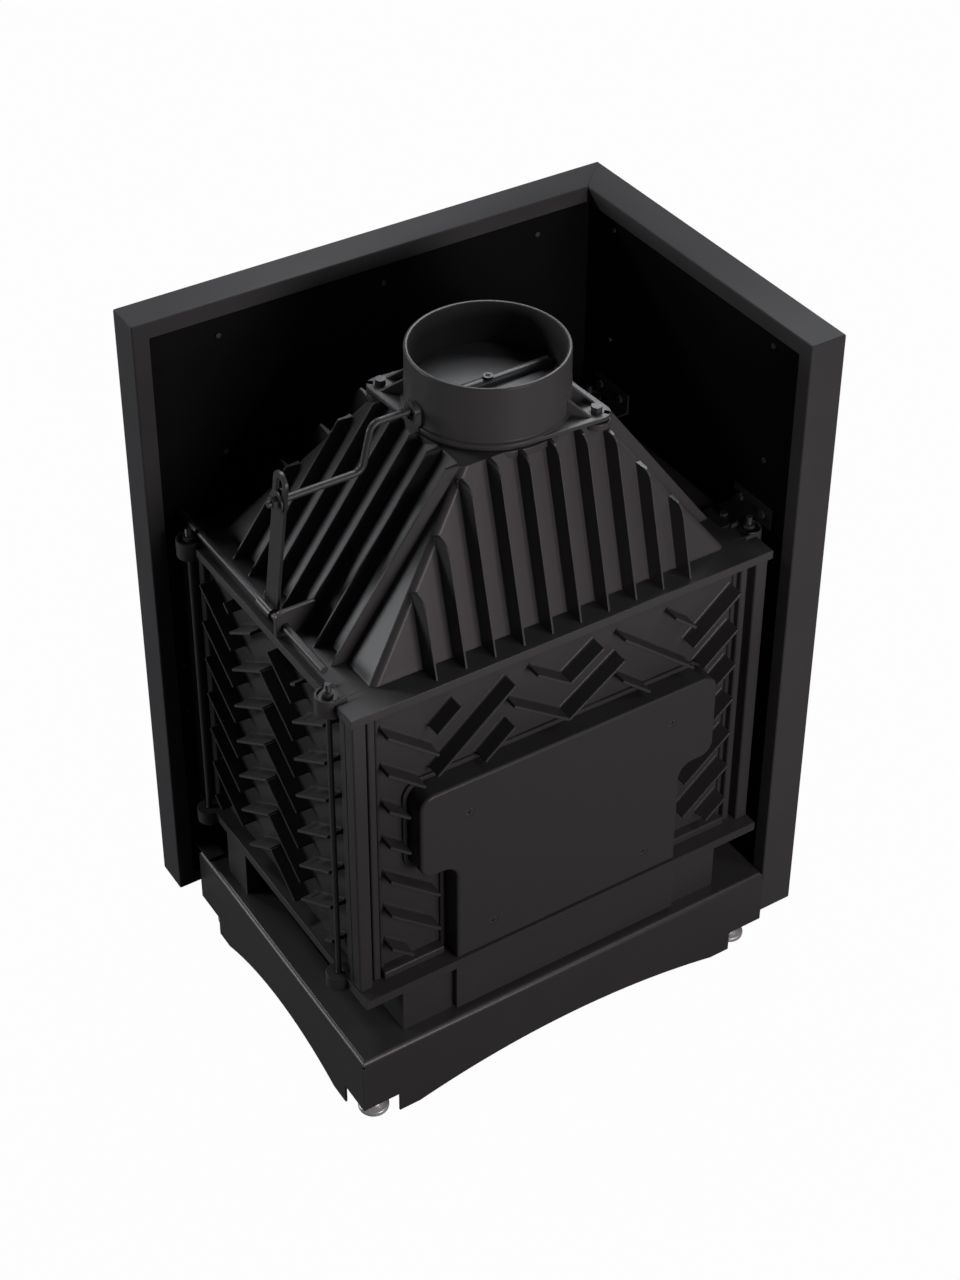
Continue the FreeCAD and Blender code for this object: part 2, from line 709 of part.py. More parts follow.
def rear_plate():
    """Cast rear wall with edge columns, sills and herringbone fins around the cover."""
    z = (HEARTH_Z[1], FLANGE_Z[0])
    inner_y = REAR_FACE_Y - PLATE_T
    pieces = [box(both_ways(PLATE_X), (inner_y, REAR_FACE_Y), z)]
    for x, proud in REAR_COLUMNS:
        column = box(x, (inner_y, REAR_FACE_Y + proud), z)
        pieces.extend([column, in_x(column)])
    foot = REAR_FACE_Y - OVER
    fins = []
    for start, end in rear_fin_lines():
        fin = fin_between(start, end, lambda x, h: (x, foot, h), (0, REAR_FIN_Y - foot, 0))
        fins.extend([fin, in_x(fin)])
    field = box(both_ways(FIN_FIELD_X), (foot, REAR_FIN_Y), FIN_FIELD_Z)
    field = field.cut(cover_outline(COVER_FIN_GAP, foot).extrude(V(0, REAR_FIN_Y - foot, 0)))
    pieces.append(joined(fins).common(field))
    sill_x, sill_out, sill_h = SILL
    sill_y = (inner_y, REAR_FACE_Y + sill_out)
    sill = box((COVER_STEM_X + COVER_FIN_GAP, sill_x), sill_y, (z[0], z[0] + sill_h))
    pieces.extend([sill, in_x(sill)])
    wall_y = grown((inner_y, REAR_FACE_Y), OVER)
    air_holes = [rod((x, wall_y[0], AIR_HOLE_Z), (x, wall_y[1], AIR_HOLE_Z), AIR_HOLE_R) for x in AIR_HOLE_X]
    return joined(pieces).cut(air_holes)


def side_fin_lines():
    """Both ends of each fin on the side plate, as y and height."""
    lines = []
    for sign in (-1, 1):
        inner = SIDE_FIN_MID_Y + sign * SIDE_FIN_COLUMN
        outer = SIDE_FIN_MID_Y + sign * 2.0 * SIDE_FIN_COLUMN
        for i in SIDE_FIN_ROWS:
            peak = SIDE_FIN_PEAK - SIDE_FIN_PITCH * i
            lines.append(((SIDE_FIN_MID_Y, peak), (inner, peak - SIDE_FIN_RISE)))
            low = SIDE_FIN_OUTER_LOW - SIDE_FIN_PITCH * i
            lines.append(((inner, low), (outer, low + SIDE_FIN_RISE)))
    return lines


def side_plate():
    """Cast side wall with edge columns and herringbone fins."""
    z = (HEARTH_Z[1], FLANGE_Z[0])
    inner_x = SIDE_FACE_X - PLATE_T
    pieces = [box((inner_x, SIDE_FACE_X), (FRAME_Y[1], REAR_FACE_Y - PLATE_T), z)]
    for y, proud in SIDE_COLUMNS:
        pieces.append(box((inner_x, SIDE_FACE_X + proud), y, z))
    foot = SIDE_FACE_X - OVER
    along = (SIDE_FIN_X - foot, 0, 0)
    fins = [fin_between(a, b, lambda y, h: (foot, y, h), along) for a, b in side_fin_lines()]
    middle = (SIDE_FIN_MID_Y, SIDE_FIN_MID_Y)
    field = box((foot, SIDE_FIN_X), grown(middle, 2.0 * SIDE_FIN_COLUMN + OVER), SIDE_FIN_FIELD_Z)
    pieces.append(joined(fins).common(field))
    rod_room = [upright(TIE_X, y, (0, RIM_Z), TIE_HOLE_R + SHEET) for y in TIE_Y]
    return joined(pieces).cut(rod_room + lug_clearance())


def front_frame():
    """Cast window frame behind the door."""
    frame = box(both_ways(PLATE_X), FRAME_Y, (HEARTH_Z[1], FLANGE_Z[0]))
    return frame.cut(box(both_ways(FRAME_WINDOW_X), grown(FRAME_Y, OVER), FRAME_WINDOW_Z))


def side_window_frame():
    """Cast window frame of the glazed side."""
    frame = box(FRAME_X, (FRAME_Y[1], REAR_FACE_Y - PLATE_T), (HEARTH_Z[1], FLANGE_Z[0]))
    return frame.cut([box(grown(FRAME_X, OVER), FRAME_WINDOW_Y, FRAME_WINDOW_Z)] + lug_clearance())


def hood_loft(inset):
    """The pyramid of the hood, pulled in evenly by an inset."""
    top = both_ways(HOOD_TOP_HALF - inset)
    foot = rounded_rectangle(both_ways(HOOD_FOOT_X - inset), grown(HOOD_FOOT_Y, -inset), FLANGE_Z[1],
                             HOOD_FOOT_R - inset / 2.0)
    head = rounded_rectangle(top, top, HOOD_TOP_Z, HOOD_TOP_R - inset / 2.0)
    return Part.makeLoft([foot, head], True, True)


def sloped_rib(foot, top, height, place, along):
    """A fin on a sloping wall: its outer edge follows the wall and rounds in at the top."""
    rise = top[1] - foot[1]
    slope = (top[0] - foot[0]) / rise
    sink = math.copysign(RIB_SINK, height)
    round_off = min(abs(height), rise * RIB_ROUND_SHARE)
    bulge = math.sqrt(0.5)

    def at(z, out):
        return V(*place(foot[0] + slope * (z - foot[1]) + out, z))

    outer_low = at(foot[1], height)
    outer_high = at(top[1] - round_off, height)
    middle = at(top[1] - round_off * (1.0 - bulge), height * bulge)
    tip = at(top[1], 0)
    root_high = at(top[1], -sink)
    root_low = at(foot[1], -sink)
    edges = [Part.LineSegment(outer_low, outer_high).toShape(), Part.Arc(outer_high, middle, tip).toShape(),
             Part.LineSegment(tip, root_high).toShape(), Part.LineSegment(root_high, root_low).toShape(),
             Part.LineSegment(root_low, outer_low).toShape()]
    return Part.Face(Part.Wire(edges)).extrude(V(*along))


def plain_ribs():
    """All fins on the four slopes of the hood, sunk a little into the slopes."""
    foot_z = FLANGE_Z[1]
    rise = HOOD_TOP_Z - foot_z
    run_x = HOOD_FOOT_X - HOOD_TOP_HALF
    ribs = []
    for y_foot, height in ((HOOD_FOOT_Y[1], REAR_RIB_H), (HOOD_FOOT_Y[0], -REAR_RIB_H)):
        run_y = math.copysign(HOOD_TOP_HALF, y_foot) - y_foot
        for x in REAR_RIB_X:
            top_z = min(HOOD_TOP_Z, foot_z + rise * (HOOD_FOOT_X - x) / run_x - RIB_BELOW_EDGE)
            top_y = y_foot + run_y * (top_z - foot_z) / rise
            rib = sloped_rib((y_foot, foot_z), (top_y, top_z), height,
                             lambda a, z, x=x: (x - RIB_T / 2.0, a, z), (RIB_T, 0, 0))
            ribs.extend([rib, in_x(rib)])
    for y in SIDE_RIB_Y:
        edge = HOOD_FOOT_Y[1] if y > 0 else HOOD_FOOT_Y[0]
        reach = (y - edge) / (math.copysign(HOOD_TOP_HALF, edge) - edge)
        top_z = min(HOOD_TOP_Z, foot_z + rise * reach - RIB_BELOW_EDGE)
        top_x = HOOD_FOOT_X - run_x * (top_z - foot_z) / rise
        rib = sloped_rib((HOOD_FOOT_X, foot_z), (top_x, top_z), SIDE_RIB_H,
                         lambda a, z, y=y: (a, y - RIB_T / 2.0, z), (0, RIB_T, 0))
        ribs.extend([rib, in_x(rib)])
    return ribs


def rod_guide():
    """The ear on the hood's flange that guides the pull rod."""
    low = FLANGE_Z[1] - OVER
    inner, outer = GUIDE_X
    profile = [(inner, low), (outer, low), (outer, GUIDE_TOP - GUIDE_CHAMFER)]
    profile += [(outer - GUIDE_CHAMFER, GUIDE_TOP), (inner, GUIDE_TOP)]
    return prism([(x, GUIDE_Y[0], z) for x, z in profile], (0, GUIDE_Y[1] - GUIDE_Y[0], 0))


def pull_rod_bore(y, radius):
    """A hole on the pull rod's axis."""
    return rod((PULL_ROD_X, y[0], PULL_ROD_Z), (PULL_ROD_X, y[1], PULL_ROD_Z), radius)


def hood_seat_z():
    """The height span of the seat under the flue collar."""
    return (HOOD_TOP_Z - HOOD_SEAT_H, HOOD_TOP_Z)


def hood_seat():
    """The collar's seat on top of the pyramid, not yet bored."""
    discs = [upright(x, y, hood_seat_z(), COLLAR_EAR_R) for x, y in collar_ears()]
    discs.append(upright(0, 0, hood_seat_z(), HOOD_SEAT_R))
    return joined([hood_loft(0.0).common(box(both_ways(BODY_X), FLANGE_Y, hood_seat_z()))] + discs)


def solid_frame():
    """The top frame with its ears, rims and guide, not yet cut open."""
    ears = lugs(FLANGE_Z[1], FLANGE_Z[1] - FLANGE_Z[0]) + lug_rims(FLANGE_Z[1])
    return joined([box(both_ways(BODY_X), FLANGE_Y, FLANGE_Z), rod_guide()] + ears)


def hood_ribs():
    """The hood's cast fins, each trimmed to the slope that it stands on."""
    core = joined([solid_frame(), hood_loft(0.0), hood_seat()])
    return group([rib.cut(core) for rib in plain_ribs()])


def top_frame():
    """Level frame over the cast walls, with the hood's mouth, tie rod ears and the pull rod's guide."""
    mouth = Part.Face(rounded_rectangle(both_ways(HOOD_FOOT_X - HOOD_WALL), grown(HOOD_FOOT_Y, -HOOD_WALL),
                                        FLANGE_Z[0], HOOD_FOOT_R - HOOD_WALL / 2.0))
    mouth = mouth.extrude(V(0, 0, FLANGE_Z[1] - FLANGE_Z[0]))
    guide_bore = pull_rod_bore(grown(GUIDE_Y, OVER), PULL_ROD_R + SHAFT_PLAY)
    return solid_frame().cut([hood_loft(0.0), mouth, guide_bore] + tie_holes())


def hip_line(corner, outward):
    """Foot and head of a line along one of the hood's hips, moved out from the middle of its rounding."""
    sign_x, sign_y = corner
    foot_y = HOOD_FOOT_Y[1] if sign_y > 0 else -HOOD_FOOT_Y[0]
    foot = outward - HOOD_FOOT_R
    head = HOOD_TOP_HALF + outward - HOOD_TOP_R
    return (V(sign_x * (HOOD_FOOT_X + foot), sign_y * (foot_y + foot), FLANGE_Z[1]),
            V(sign_x * head, sign_y * head, HOOD_TOP_Z))


def hood_sector(first, second):
    """The space between two neighbouring hips, cut through the middle of their roundings."""
    lines = [hip_line(first, 0.0), hip_line(first, HIP_REACH), hip_line(second, HIP_REACH), hip_line(second, 0.0)]
    rings = [Part.makePolygon([line[end] for line in lines + lines[:1]]) for end in (0, 1)]
    return Part.makeLoft(rings, True, True)


def seat_quarter(first, second):
    """The quarter of the collar's seat between two diagonals."""
    low, high = hood_seat_z()
    ends = [(x * BODY_X, y * BODY_X, low) for x, y in (first, second)]
    return prism([(0, 0, low)] + ends, (0, 0, high - low))


def hood():
    """Hollow pyramid of four slopes on the top frame, and the collar's seat in quarters that closes it."""
    slopes_z = (FLANGE_Z[1], hood_seat_z()[0])
    walls = hood_loft(0.0).common(box(both_ways(BODY_X), FLANGE_Y, slopes_z)).cut(hood_loft(HOOD_WALL))
    seat = hood_seat().cut(upright(0, 0, grown(hood_seat_z(), OVER), FLUE_BORE_R))
    corners = [(1, 1), (-1, 1), (-1, -1), (1, -1)]
    pieces = []
    for first, second in zip(corners, corners[1:] + corners[:1]):
        pieces.append(walls.common(hood_sector(first, second)))
        pieces.append(seat.common(seat_quarter(first, second)))
    return group(pieces)


def cover_screw_places():
    """The four screws of the rear cover."""
    return [(sign * x, z) for x, z in COVER_SCREWS for sign in (1, -1)]


def rear_cover():
    """Shallow cast lid with a stepped outline over the air channel of the rear wall."""
    depth = COVER_Y - REAR_FACE_Y
    outside = cover_outline(0.0, REAR_FACE_Y).extrude(V(0, depth, 0))
    inside = cover_outline(-COVER_WALL, REAR_FACE_Y).extrude(V(0, depth - COVER_WALL, 0))
    seat = COVER_Y - COVER_HEAD_H
    posts = []
    holes = []
    for x, z in cover_screw_places():
        posts.append(rod((x, REAR_FACE_Y, z), (x, seat, z), COVER_POST_R))
        holes.append(rod((x, seat, z), (x, COVER_Y + OVER, z), COVER_HEAD_R + SHAFT_PLAY))
        holes.append(rod((x, REAR_FACE_Y, z), (x, COVER_Y, z), COVER_SHANK_R + SHAFT_PLAY))
    foot = box(both_ways(COVER_STEM_X), (REAR_FACE_Y, COVER_Y), (COVER_Z[0], COVER_Z[0] + COVER_WALL))
    return joined([outside.cut(inside), foot] + posts).cut(holes)


def cover_screws():
    """Flat headed screws with a cross recess."""
    screws = []
    top = COVER_Y - FREE
    for x, z in cover_screw_places():
        head = rod((x, COVER_Y - COVER_HEAD_H, z), (x, top, z), COVER_HEAD_R)
        shank = rod((x, REAR_FACE_Y, z), (x, COVER_Y - COVER_HEAD_H, z), COVER_SHANK_R)
        screws.append(joined([head, shank]).cut(cross_recess((x, top, z), (0, 1, 0))))
    return group(screws)


def tie_rods():
    """Long threaded rods that pull hood and hearth plate together."""
    return group([upright(x, y, TIE_Z, TIE_R) for x, y in tie_places()])


def tie_rod_washers():
    """Plain washers under the tie rod nuts."""
    low = HEARTH_Z[1] - LUG_DEPTH
    rings = []
    for x, y in tie_places():
        bore = upright(x, y, (0, RIM_Z), TIE_R + SHAFT_PLAY)
        for z in ((low - TIE_WASHER_T, low), (FLANGE_Z[1], FLANGE_Z[1] + TIE_WASHER_T)):
            rings.append(upright(x, y, z, TIE_WASHER_R).cut(bore))
    return group(rings)


def tie_rod_nuts():
    """Hexagon nuts at both ends of the tie rods."""
    low = HEARTH_Z[1] - LUG_DEPTH - TIE_WASHER_T - TIE_NUT_H
    nuts = []
    for x, y in tie_places():
        bore = upright(x, y, (0, RIM_Z), TIE_R + SHAFT_PLAY)
        for z in (low, FLANGE_Z[1] + TIE_WASHER_T):
            nuts.append(hexagon((x, y, z), (0, 0, 1), TIE_NUT_ACROSS, TIE_NUT_H).cut(bore))
    return group(nuts)


def collar_ears():
    """The two corners of the collar that are bolted to the hood."""
    return [(-COLLAR_EAR, COLLAR_EAR), (COLLAR_EAR, -COLLAR_EAR)]


def collar_ear(x, y):
    """One ear with its tab to the collar's flange and two gussets."""
    top = HOOD_TOP_Z + COLLAR_FLANGE_H
    out = V(x, y, 0).normalize()
    across = V(-out.y, out.x, 0)
    half = across * COLLAR_EAR_R
    root = out * EAR_ROOT_R
    end = V(x, y, 0)
    base = V(0, 0, HOOD_TOP_Z)
    tab = prism([base + root - half, base + end - half, base + end + half, base + root + half],
                (0, 0, COLLAR_FLANGE_H))
    pieces = [upright(x, y, (HOOD_TOP_Z, top), COLLAR_EAR_R), tab]
    for sign in (1, -1):
        inner = across * (sign * (COLLAR_EAR_R - GUSSET_T)) + V(0, 0, top - OVER)
        near = inner + out * GUSSET_R[0]
        far = inner + out * GUSSET_R[1]
        pieces.append(prism([near, far, near + V(0, 0, GUSSET_H)], across * (sign * GUSSET_T)))
    return pieces


def flue_collar():
    """Round spigot with a flange, two bolted ears with gussets, and bosses for the damper shaft."""
    flange_z = (HOOD_TOP_Z, HOOD_TOP_Z + COLLAR_FLANGE_H)
    pieces = [upright(0, 0, flange_z, COLLAR_FLANGE_R),
              upright(0, 0, (HOOD_TOP_Z, SPIGOT_STEP_Z), COLLAR_R),
              upright(0, 0, (SPIGOT_STEP_Z, RIM_Z), SPIGOT_R)]
    for x, y in collar_ears():
        pieces += collar_ear(x, y)
    boss = rod((BOSS_X[0], 0, DAMPER_Z), (BOSS_X[1], 0, DAMPER_Z), BOSS_R)
    pieces += [boss, in_x(boss)]
    holes = [upright(0, 0, grown((HOOD_TOP_Z, RIM_Z), OVER), FLUE_BORE_R)]
    reach = BOSS_X[1] + OVER
    holes.append(rod((-reach, 0, DAMPER_Z), (reach, 0, DAMPER_Z), SHAFT_R + SHAFT_PLAY))
    holes += [upright(x, y, grown(flange_z, OVER), COLLAR_BOLT_R + SHAFT_PLAY) for x, y in collar_ears()]
    return joined(pieces).cut(holes)


def collar_screws():
    """Hexagon bolts of the collar, with washers made on."""
    seat = HOOD_TOP_Z + COLLAR_FLANGE_H
    washer_r, washer_t = COLLAR_WASHER
    bolts = []
    for x, y in collar_ears():
        washer = upright(x, y, (seat, seat + washer_t), washer_r)
        head = hexagon((x, y, seat + washer_t), (0, 0, 1), TIE_NUT_ACROSS, TIE_NUT_H)
        shank = upright(x, y, (HOOD_TOP_Z, seat), COLLAR_BOLT_R)
        bolts.append(joined([washer, head, shank]))
    return group(bolts)


def damper_disc():
    """Butterfly plate with a half round sleeve for the shaft."""
    plate = upright(0, 0, (DAMPER_Z - DISC_T, DAMPER_Z), DISC_R)
    sleeve = rod((-DISC_SLEEVE_X, 0, DAMPER_Z), (DISC_SLEEVE_X, 0, DAMPER_Z), DISC_SLEEVE_R)
    hole = rod((-DISC_R - OVER, 0, DAMPER_Z), (DISC_R + OVER, 0, DAMPER_Z), SHAFT_R + SHAFT_PLAY)
    screw_hole = upright(0, 0, (DAMPER_Z, DAMPER_Z + 2.0 * DISC_SLEEVE_R), COVER_SHANK_R + SHAFT_PLAY)
    return joined([plate, sleeve]).cut([hole, screw_hole])


def damper_shaft():
    """Bent rod: the damper's axle, its crank and the crank pin in one piece."""
    pin_z = DAMPER_Z - CRANK_R
    points = [(SHAFT_FAR_X, 0, DAMPER_Z), (CRANK_BEND_X[0], 0, DAMPER_Z), (CRANK_BEND_X[1], 0, pin_z),
              (CRANK_TIP_X, 0, pin_z)]
    return bent_rod(points, CRANK_BEND_R, SHAFT_R)


def damper_screw():
    """Screw with a cross recess that holds the disc on its shaft."""
    seat = DAMPER_Z + DISC_SLEEVE_R
    top = seat + COVER_HEAD_H
    shank = upright(0, 0, (DAMPER_Z + SHAFT_R, seat), COVER_SHANK_R)
    head = upright(0, 0, (seat, top), COVER_HEAD_R)
    return joined([shank, head]).cut(cross_recess((0, 0, top), (0, 0, 1)))


def pin_fasteners():
    """Washers on both sides of the slotted lever, and the nut on the crank pin's end."""
    z = DAMPER_Z - CRANK_R
    radius, thick = PIN_WASHER
    across, height = PIN_NUT
    first = LEVER_X[0] - PIN_PLAY - thick
    second = LEVER_X[1] + PIN_PLAY
    bore = rod((first - OVER, 0, z), (CRANK_TIP_X + OVER, 0, z), SHAFT_R + SHAFT_PLAY)
    rings = [rod((x, 0, z), (x + thick, 0, z), radius) for x in (first, second)]
    nut = hexagon((second + thick, 0, z), (1, 0, 0), across, height)
    return group([ring.cut(bore) for ring in rings + [nut]])


def pull_rod():
    """Straight rod that works the damper from the front."""
    return pull_rod_bore(PULL_ROD_Y, PULL_ROD_R)


def damper_lever():
    """Flat bar with a slotted head, welded to a sleeve on the pull rod."""
    pin_z = DAMPER_Z - CRANK_R
    thickness = (LEVER_X[1] - LEVER_X[0], 0, 0)
    length = math.hypot(1.0, LEVER_LEAN)
    up = V(0, LEVER_LEAN / length, 1.0 / length)
    across = V(0, up.z, -up.y)
    pin = V(LEVER_X[0], 0, pin_z)
    half = LEVER_W / 2.0

    def strip(low, high, half):
        ends = [pin + up * low, pin + up * high]
        side = across * half
        return prism([ends[0] - side, ends[0] + side, ends[1] + side, ends[1] - side], thickness)

    def stadium(low, high, half):
        rounds = [Part.makeCylinder(half, thickness[0], pin + up * a, V(1, 0, 0)) for a in (low, high)]
        return joined(rounds + [strip(low, high, half)])

    foot = (PULL_ROD_Z - pin_z) / up.z
    bar = strip(foot - LEVER_FOOT, 0, half)
    head = stadium(-SLOT_SLACK, SLOT_TRAVEL, half + OVER)
    slot = stadium(-SLOT_SLACK, SLOT_TRAVEL, SLOT_HALF)
    sleeve_y = foot * up.y
    sleeve_r, sleeve_half = LEVER_SLEEVE
    sleeve = pull_rod_bore((sleeve_y - sleeve_half, sleeve_y + sleeve_half), sleeve_r)
    bore = pull_rod_bore(grown((sleeve_y, sleeve_y), 2.0 * sleeve_half), PULL_ROD_R + SHAFT_PLAY)
    return joined([bar, head, sleeve]).cut([slot, bore])


def round_edges(shape, radius):
    """The full circles of a given radius among a shape's edges."""
    length = 2.0 * math.pi * radius
    return [edge for edge in shape.Edges if math.isclose(edge.Length, length)]


def turned_knob(x, z, front_y, back_y, radius):
    """A waisted knob along Y: a rounded head on a neck that widens towards the panel."""
    middle = front_y + KNOB_HEAD_SHARE * (back_y - front_y)
    head = rod((x, front_y, z), (x, middle, z), radius)
    waist_r, foot_r = [radius * share for share in KNOB_NECK_SHARES]
    neck = Part.makeCone(waist_r, foot_r, back_y - middle, V(x, middle, z), V(0, 1, 0))
    return joined([head.makeFillet(radius * KNOB_ROUND_SHARE, round_edges(head, radius)), neck])


def damper_knob():
    """Knob on the front end of the pull rod."""
    back_y = FACADE_Y[0] - KNOB_GAP
    knob = turned_knob(PULL_ROD_X, PULL_ROD_Z, KNOB_FRONT_Y, back_y, KNOB_R)
    return knob.cut(pull_rod_bore((PULL_ROD_Y[0], back_y + OVER), PULL_ROD_R + SHAFT_PLAY))


def tray(x, y, z, mouth):
    """A folded sheet panel: closed front and edges, with a lip all round the open side."""
    shell = box(x, y, z)
    hollow = box(grown(x, -FACADE_SHEET), grown(y, -FACADE_SHEET), grown(z, -FACADE_SHEET))
    return shell.cut([hollow, mouth])


def mitre(side):
    """The space on one side of the 45 degree joint between the two panels."""
    x, y = FACADE_X[0], FACADE_Y[0]
    reach = RIM_Z
    low = FACADE_Z[0] - OVER
    outline = [(x, y, low), (x + reach, y + reach, low), (x + reach, y - OVER, low), (x, y - OVER, low)]
    if side:
        outline = [(x, y, low), (x + reach, y + reach, low), (x - OVER, y + reach, low), (x - OVER, y, low)]
    return prism(outline, (0, 0, FACADE_Z[1] - low + OVER))


def facade_front():
    """Front panel with the door window, the drawer opening, the air slot and the pull rod hole."""
    depth = (FACADE_Y[0], FACADE_Y[0] + FACADE_DEPTH)
    lip = FACADE_LIP
    sheet = FACADE_SHEET
    mouth = box(grown(FACADE_X, -lip), (depth[1] - sheet - OVER, depth[1] + OVER), grown(FACADE_Z, -lip))
    panel = tray((FACADE_X[0] - lip, FACADE_X[1]), depth, FACADE_Z, mouth).common(mitre(False))
    back = FACADE_Y[0] + WINDOW_RETURN
    sleeve = box(grown(WINDOW_X, sheet), (FACADE_Y[0], back), grown(WINDOW_Z, sheet))
    through = (FACADE_Y[0] - OVER, FACADE_Y[0] + sheet + OVER)
    holes = [box(WINDOW_X, grown((FACADE_Y[0], back), OVER), WINDOW_Z)]
    holes.append(box(both_ways(DRAWER_HOLE_X), through, DRAWER_HOLE_Z))
    holes.append(box(*stem_slot(through, 0.0)))
    holes.append(pull_rod_bore(through, ROD_HOLE_R))
    jamb = (WINDOW_X[0] - sheet - OVER, WINDOW_X[0] + OVER)
    holes.append(box(jamb, grown(TONGUE_Y, POCKET_PLAY), KEEPER_Z))
    return panel.fuse(sleeve).cut(holes)


def stem_slot(y, margin):
    """The slot that the air slide's stem runs in."""
    end, half = STEM_SLOT
    x = (STEM_X - end - margin, STEM_X + SLIDE_TRAVEL + end + margin)
    return (x, y, grown((STEM_Z, STEM_Z), half + margin))


def facade_side():
    """Side panel with the window of the glazed side."""
    depth = (FACADE_X[0], FACADE_X[0] + FACADE_DEPTH)
    lip = FACADE_LIP
    sheet = FACADE_SHEET
    mouth = box((depth[1] - sheet - OVER, depth[1] + OVER), grown(FACADE_Y, -lip), grown(FACADE_Z, -lip))
    panel = tray(depth, (FACADE_Y[0] - lip, FACADE_Y[1]), FACADE_Z, mouth).common(mitre(True))
    back = FACADE_X[0] + WINDOW_RETURN
    sleeve = box((FACADE_X[0], back), grown(WINDOW_Y, sheet), grown(WINDOW_Z, sheet))
    return panel.fuse(sleeve).cut(box(grown((FACADE_X[0], back), OVER), WINDOW_Y, WINDOW_Z))


def front_lining_sheet():
    """Sheet set back inside the front panel, open at the door and at the lower strip."""
    y = (LINING_Y - LINING_T, LINING_Y)
    sheet = box((LINING_X, FACADE_X[1] - FACADE_SHEET), y, LINING_Z)
    through = grown(y, OVER)
    holes = [box(grown(WINDOW_X, LINING_MARGIN), through, grown(WINDOW_Z, LINING_MARGIN))]
    holes.append(box(both_ways(DRAWER_FRONT_X), through, DRAWER_FRONT_Z))
    holes.append(box(*stem_slot(through, SHEET)))
    holes.append(pull_rod_bore(through, LINING_HOLE_R))
    return sheet.cut(holes)


def side_lining_sheet():
    """Sheet set back inside the side panel, open at the window."""
    x = (LINING_X - LINING_T, LINING_X)
    sheet = box(x, (LINING_Y, FACADE_Y[1] - FACADE_SHEET), LINING_Z)
    return sheet.cut(box(grown(x, OVER), grown(WINDOW_Y, LINING_MARGIN), grown(WINDOW_Z, LINING_MARGIN)))


def lining_screws():
    """Small round heads on both lining sheets."""
    front = [(x, z) for x in FRONT_SCREW_X for z in FRONT_SCREW_Z] + FRONT_EXTRA_SCREWS
    side = [(y, z) for y in SIDE_SCREW_Y for z in SIDE_SCREW_Z]
    heads = [rod((x, LINING_Y, z), (x, LINING_Y + SCREW_H, z), SCREW_R) for x, z in front]
    heads += [rod((LINING_X, y, z), (LINING_X + SCREW_H, y, z), SCREW_R) for y, z in side]
    return group(heads)


def front_angle(x, width, reach, z):
    """An angle between the front lining and a level surface."""
    span = grown((x, x), width / 2.0)
    foot = box(span, (LINING_Y, reach), (z, z + ANGLE_T))
    leg = box(span, (LINING_Y, LINING_Y + ANGLE_T), (z, z + ANGLE_LEG))
    return joined([foot, leg])


def side_angle(foot_y, leg_y, reach, z):
    """An angle between the side lining and a level surface."""
    foot = box((LINING_X, reach), foot_y, (z, z + ANGLE_T))
    leg = box((LINING_X, LINING_X + ANGLE_T), leg_y, (z, z + ANGLE_LEG))
    return joined([foot, leg])


def facade_brackets():
    """Angles that tie the surround to the hood's flange and to the stand's deck."""
    angles = []
    for sign in (-1, 1):
        angles.append(front_angle(sign * FLANGE_ANGLE_X, FLANGE_ANGLE_W, FLANGE_ANGLE_Y, FLANGE_Z[1]))
        angles.append(front_angle(sign * DECK_ANGLE_X, DECK_ANGLE_W, DECK_ANGLE_Y, DECK_Z[1]))
    for foot_y, leg_y in zip(SIDE_FOOT_Y, SIDE_LEG_Y):
        angles.append(side_angle(foot_y, leg_y, SIDE_FOOT_X, FLANGE_Z[1]))
    for y in SIDE_DECK_Y:
        angles.append(side_angle(y, y, SIDE_DECK_X, DECK_Z[1]))
    return group(angles)


def bracket_bolts():
    """Hexagon bolts on both legs of the upper angles."""
    top = FLANGE_Z[1] + ANGLE_T
    bolts = []
    for sign in (-1, 1):
        x = sign * FLANGE_ANGLE_X
        bolts.append(hexagon((x, FLANGE_ANGLE_Y - BOLT_INSET, top), (0, 0, 1), *BOLT))
        bolts.append(hexagon((x, LINING_Y + ANGLE_T, BOLT_Z), (0, 1, 0), *BOLT))
    for foot_y, leg_y in zip(SIDE_FOOT_Y, SIDE_LEG_Y):
        bolts.append(hexagon((SIDE_FOOT_X - BOLT_INSET, sum(foot_y) / 2.0, top), (0, 0, 1), *BOLT))
        for y in grown(leg_y, -BOLT_INSET):
            bolts.append(hexagon((LINING_X + ANGLE_T, y, BOLT_Z), (1, 0, 0), *BOLT))
    return group(bolts)


def side_glass_frame():
    """Deep frame that fills the side window and meets the cast window frame with a narrower neck."""
    y = grown(WINDOW_Y, -BEZEL_GAP)
    z = grown(WINDOW_Z, -BEZEL_GAP)
    x = (FACADE_X[0] + BEZEL_FRONT, FRAME_X[0])
    bezel = box((x[0], BEZEL_NECK_X), y, z)
    neck = box((BEZEL_NECK_X, x[1]), grown(y, -BEZEL_NECK_INSET), grown(z, -BEZEL_NECK_INSET))
    clear = box(grown(x, OVER), grown(y, -BEZEL_BAR), grown(z, -BEZEL_BAR))
    return joined([bezel, neck]).cut([clear, side_pane(0.0)])


def side_pane(play):
    """The seat of the side glass, or the pane with play around its edge."""
    edge = BEZEL_GAP + BEZEL_BAR - GLASS_SEAT + play
    return box((SIDE_GLASS_X, SIDE_GLASS_X + GLASS_T), grown(WINDOW_Y, -edge), grown(WINDOW_Z, -edge))


def side_glass():
    """Fixed ceramic pane of the glazed side."""
    return side_pane(GLASS_PLAY)


def door_ring(edge, y):
    """The block that lies a given distance inside the door's edge."""
    return box(grown(DOOR_X, -edge), y, grown(DOOR_Z, -edge))


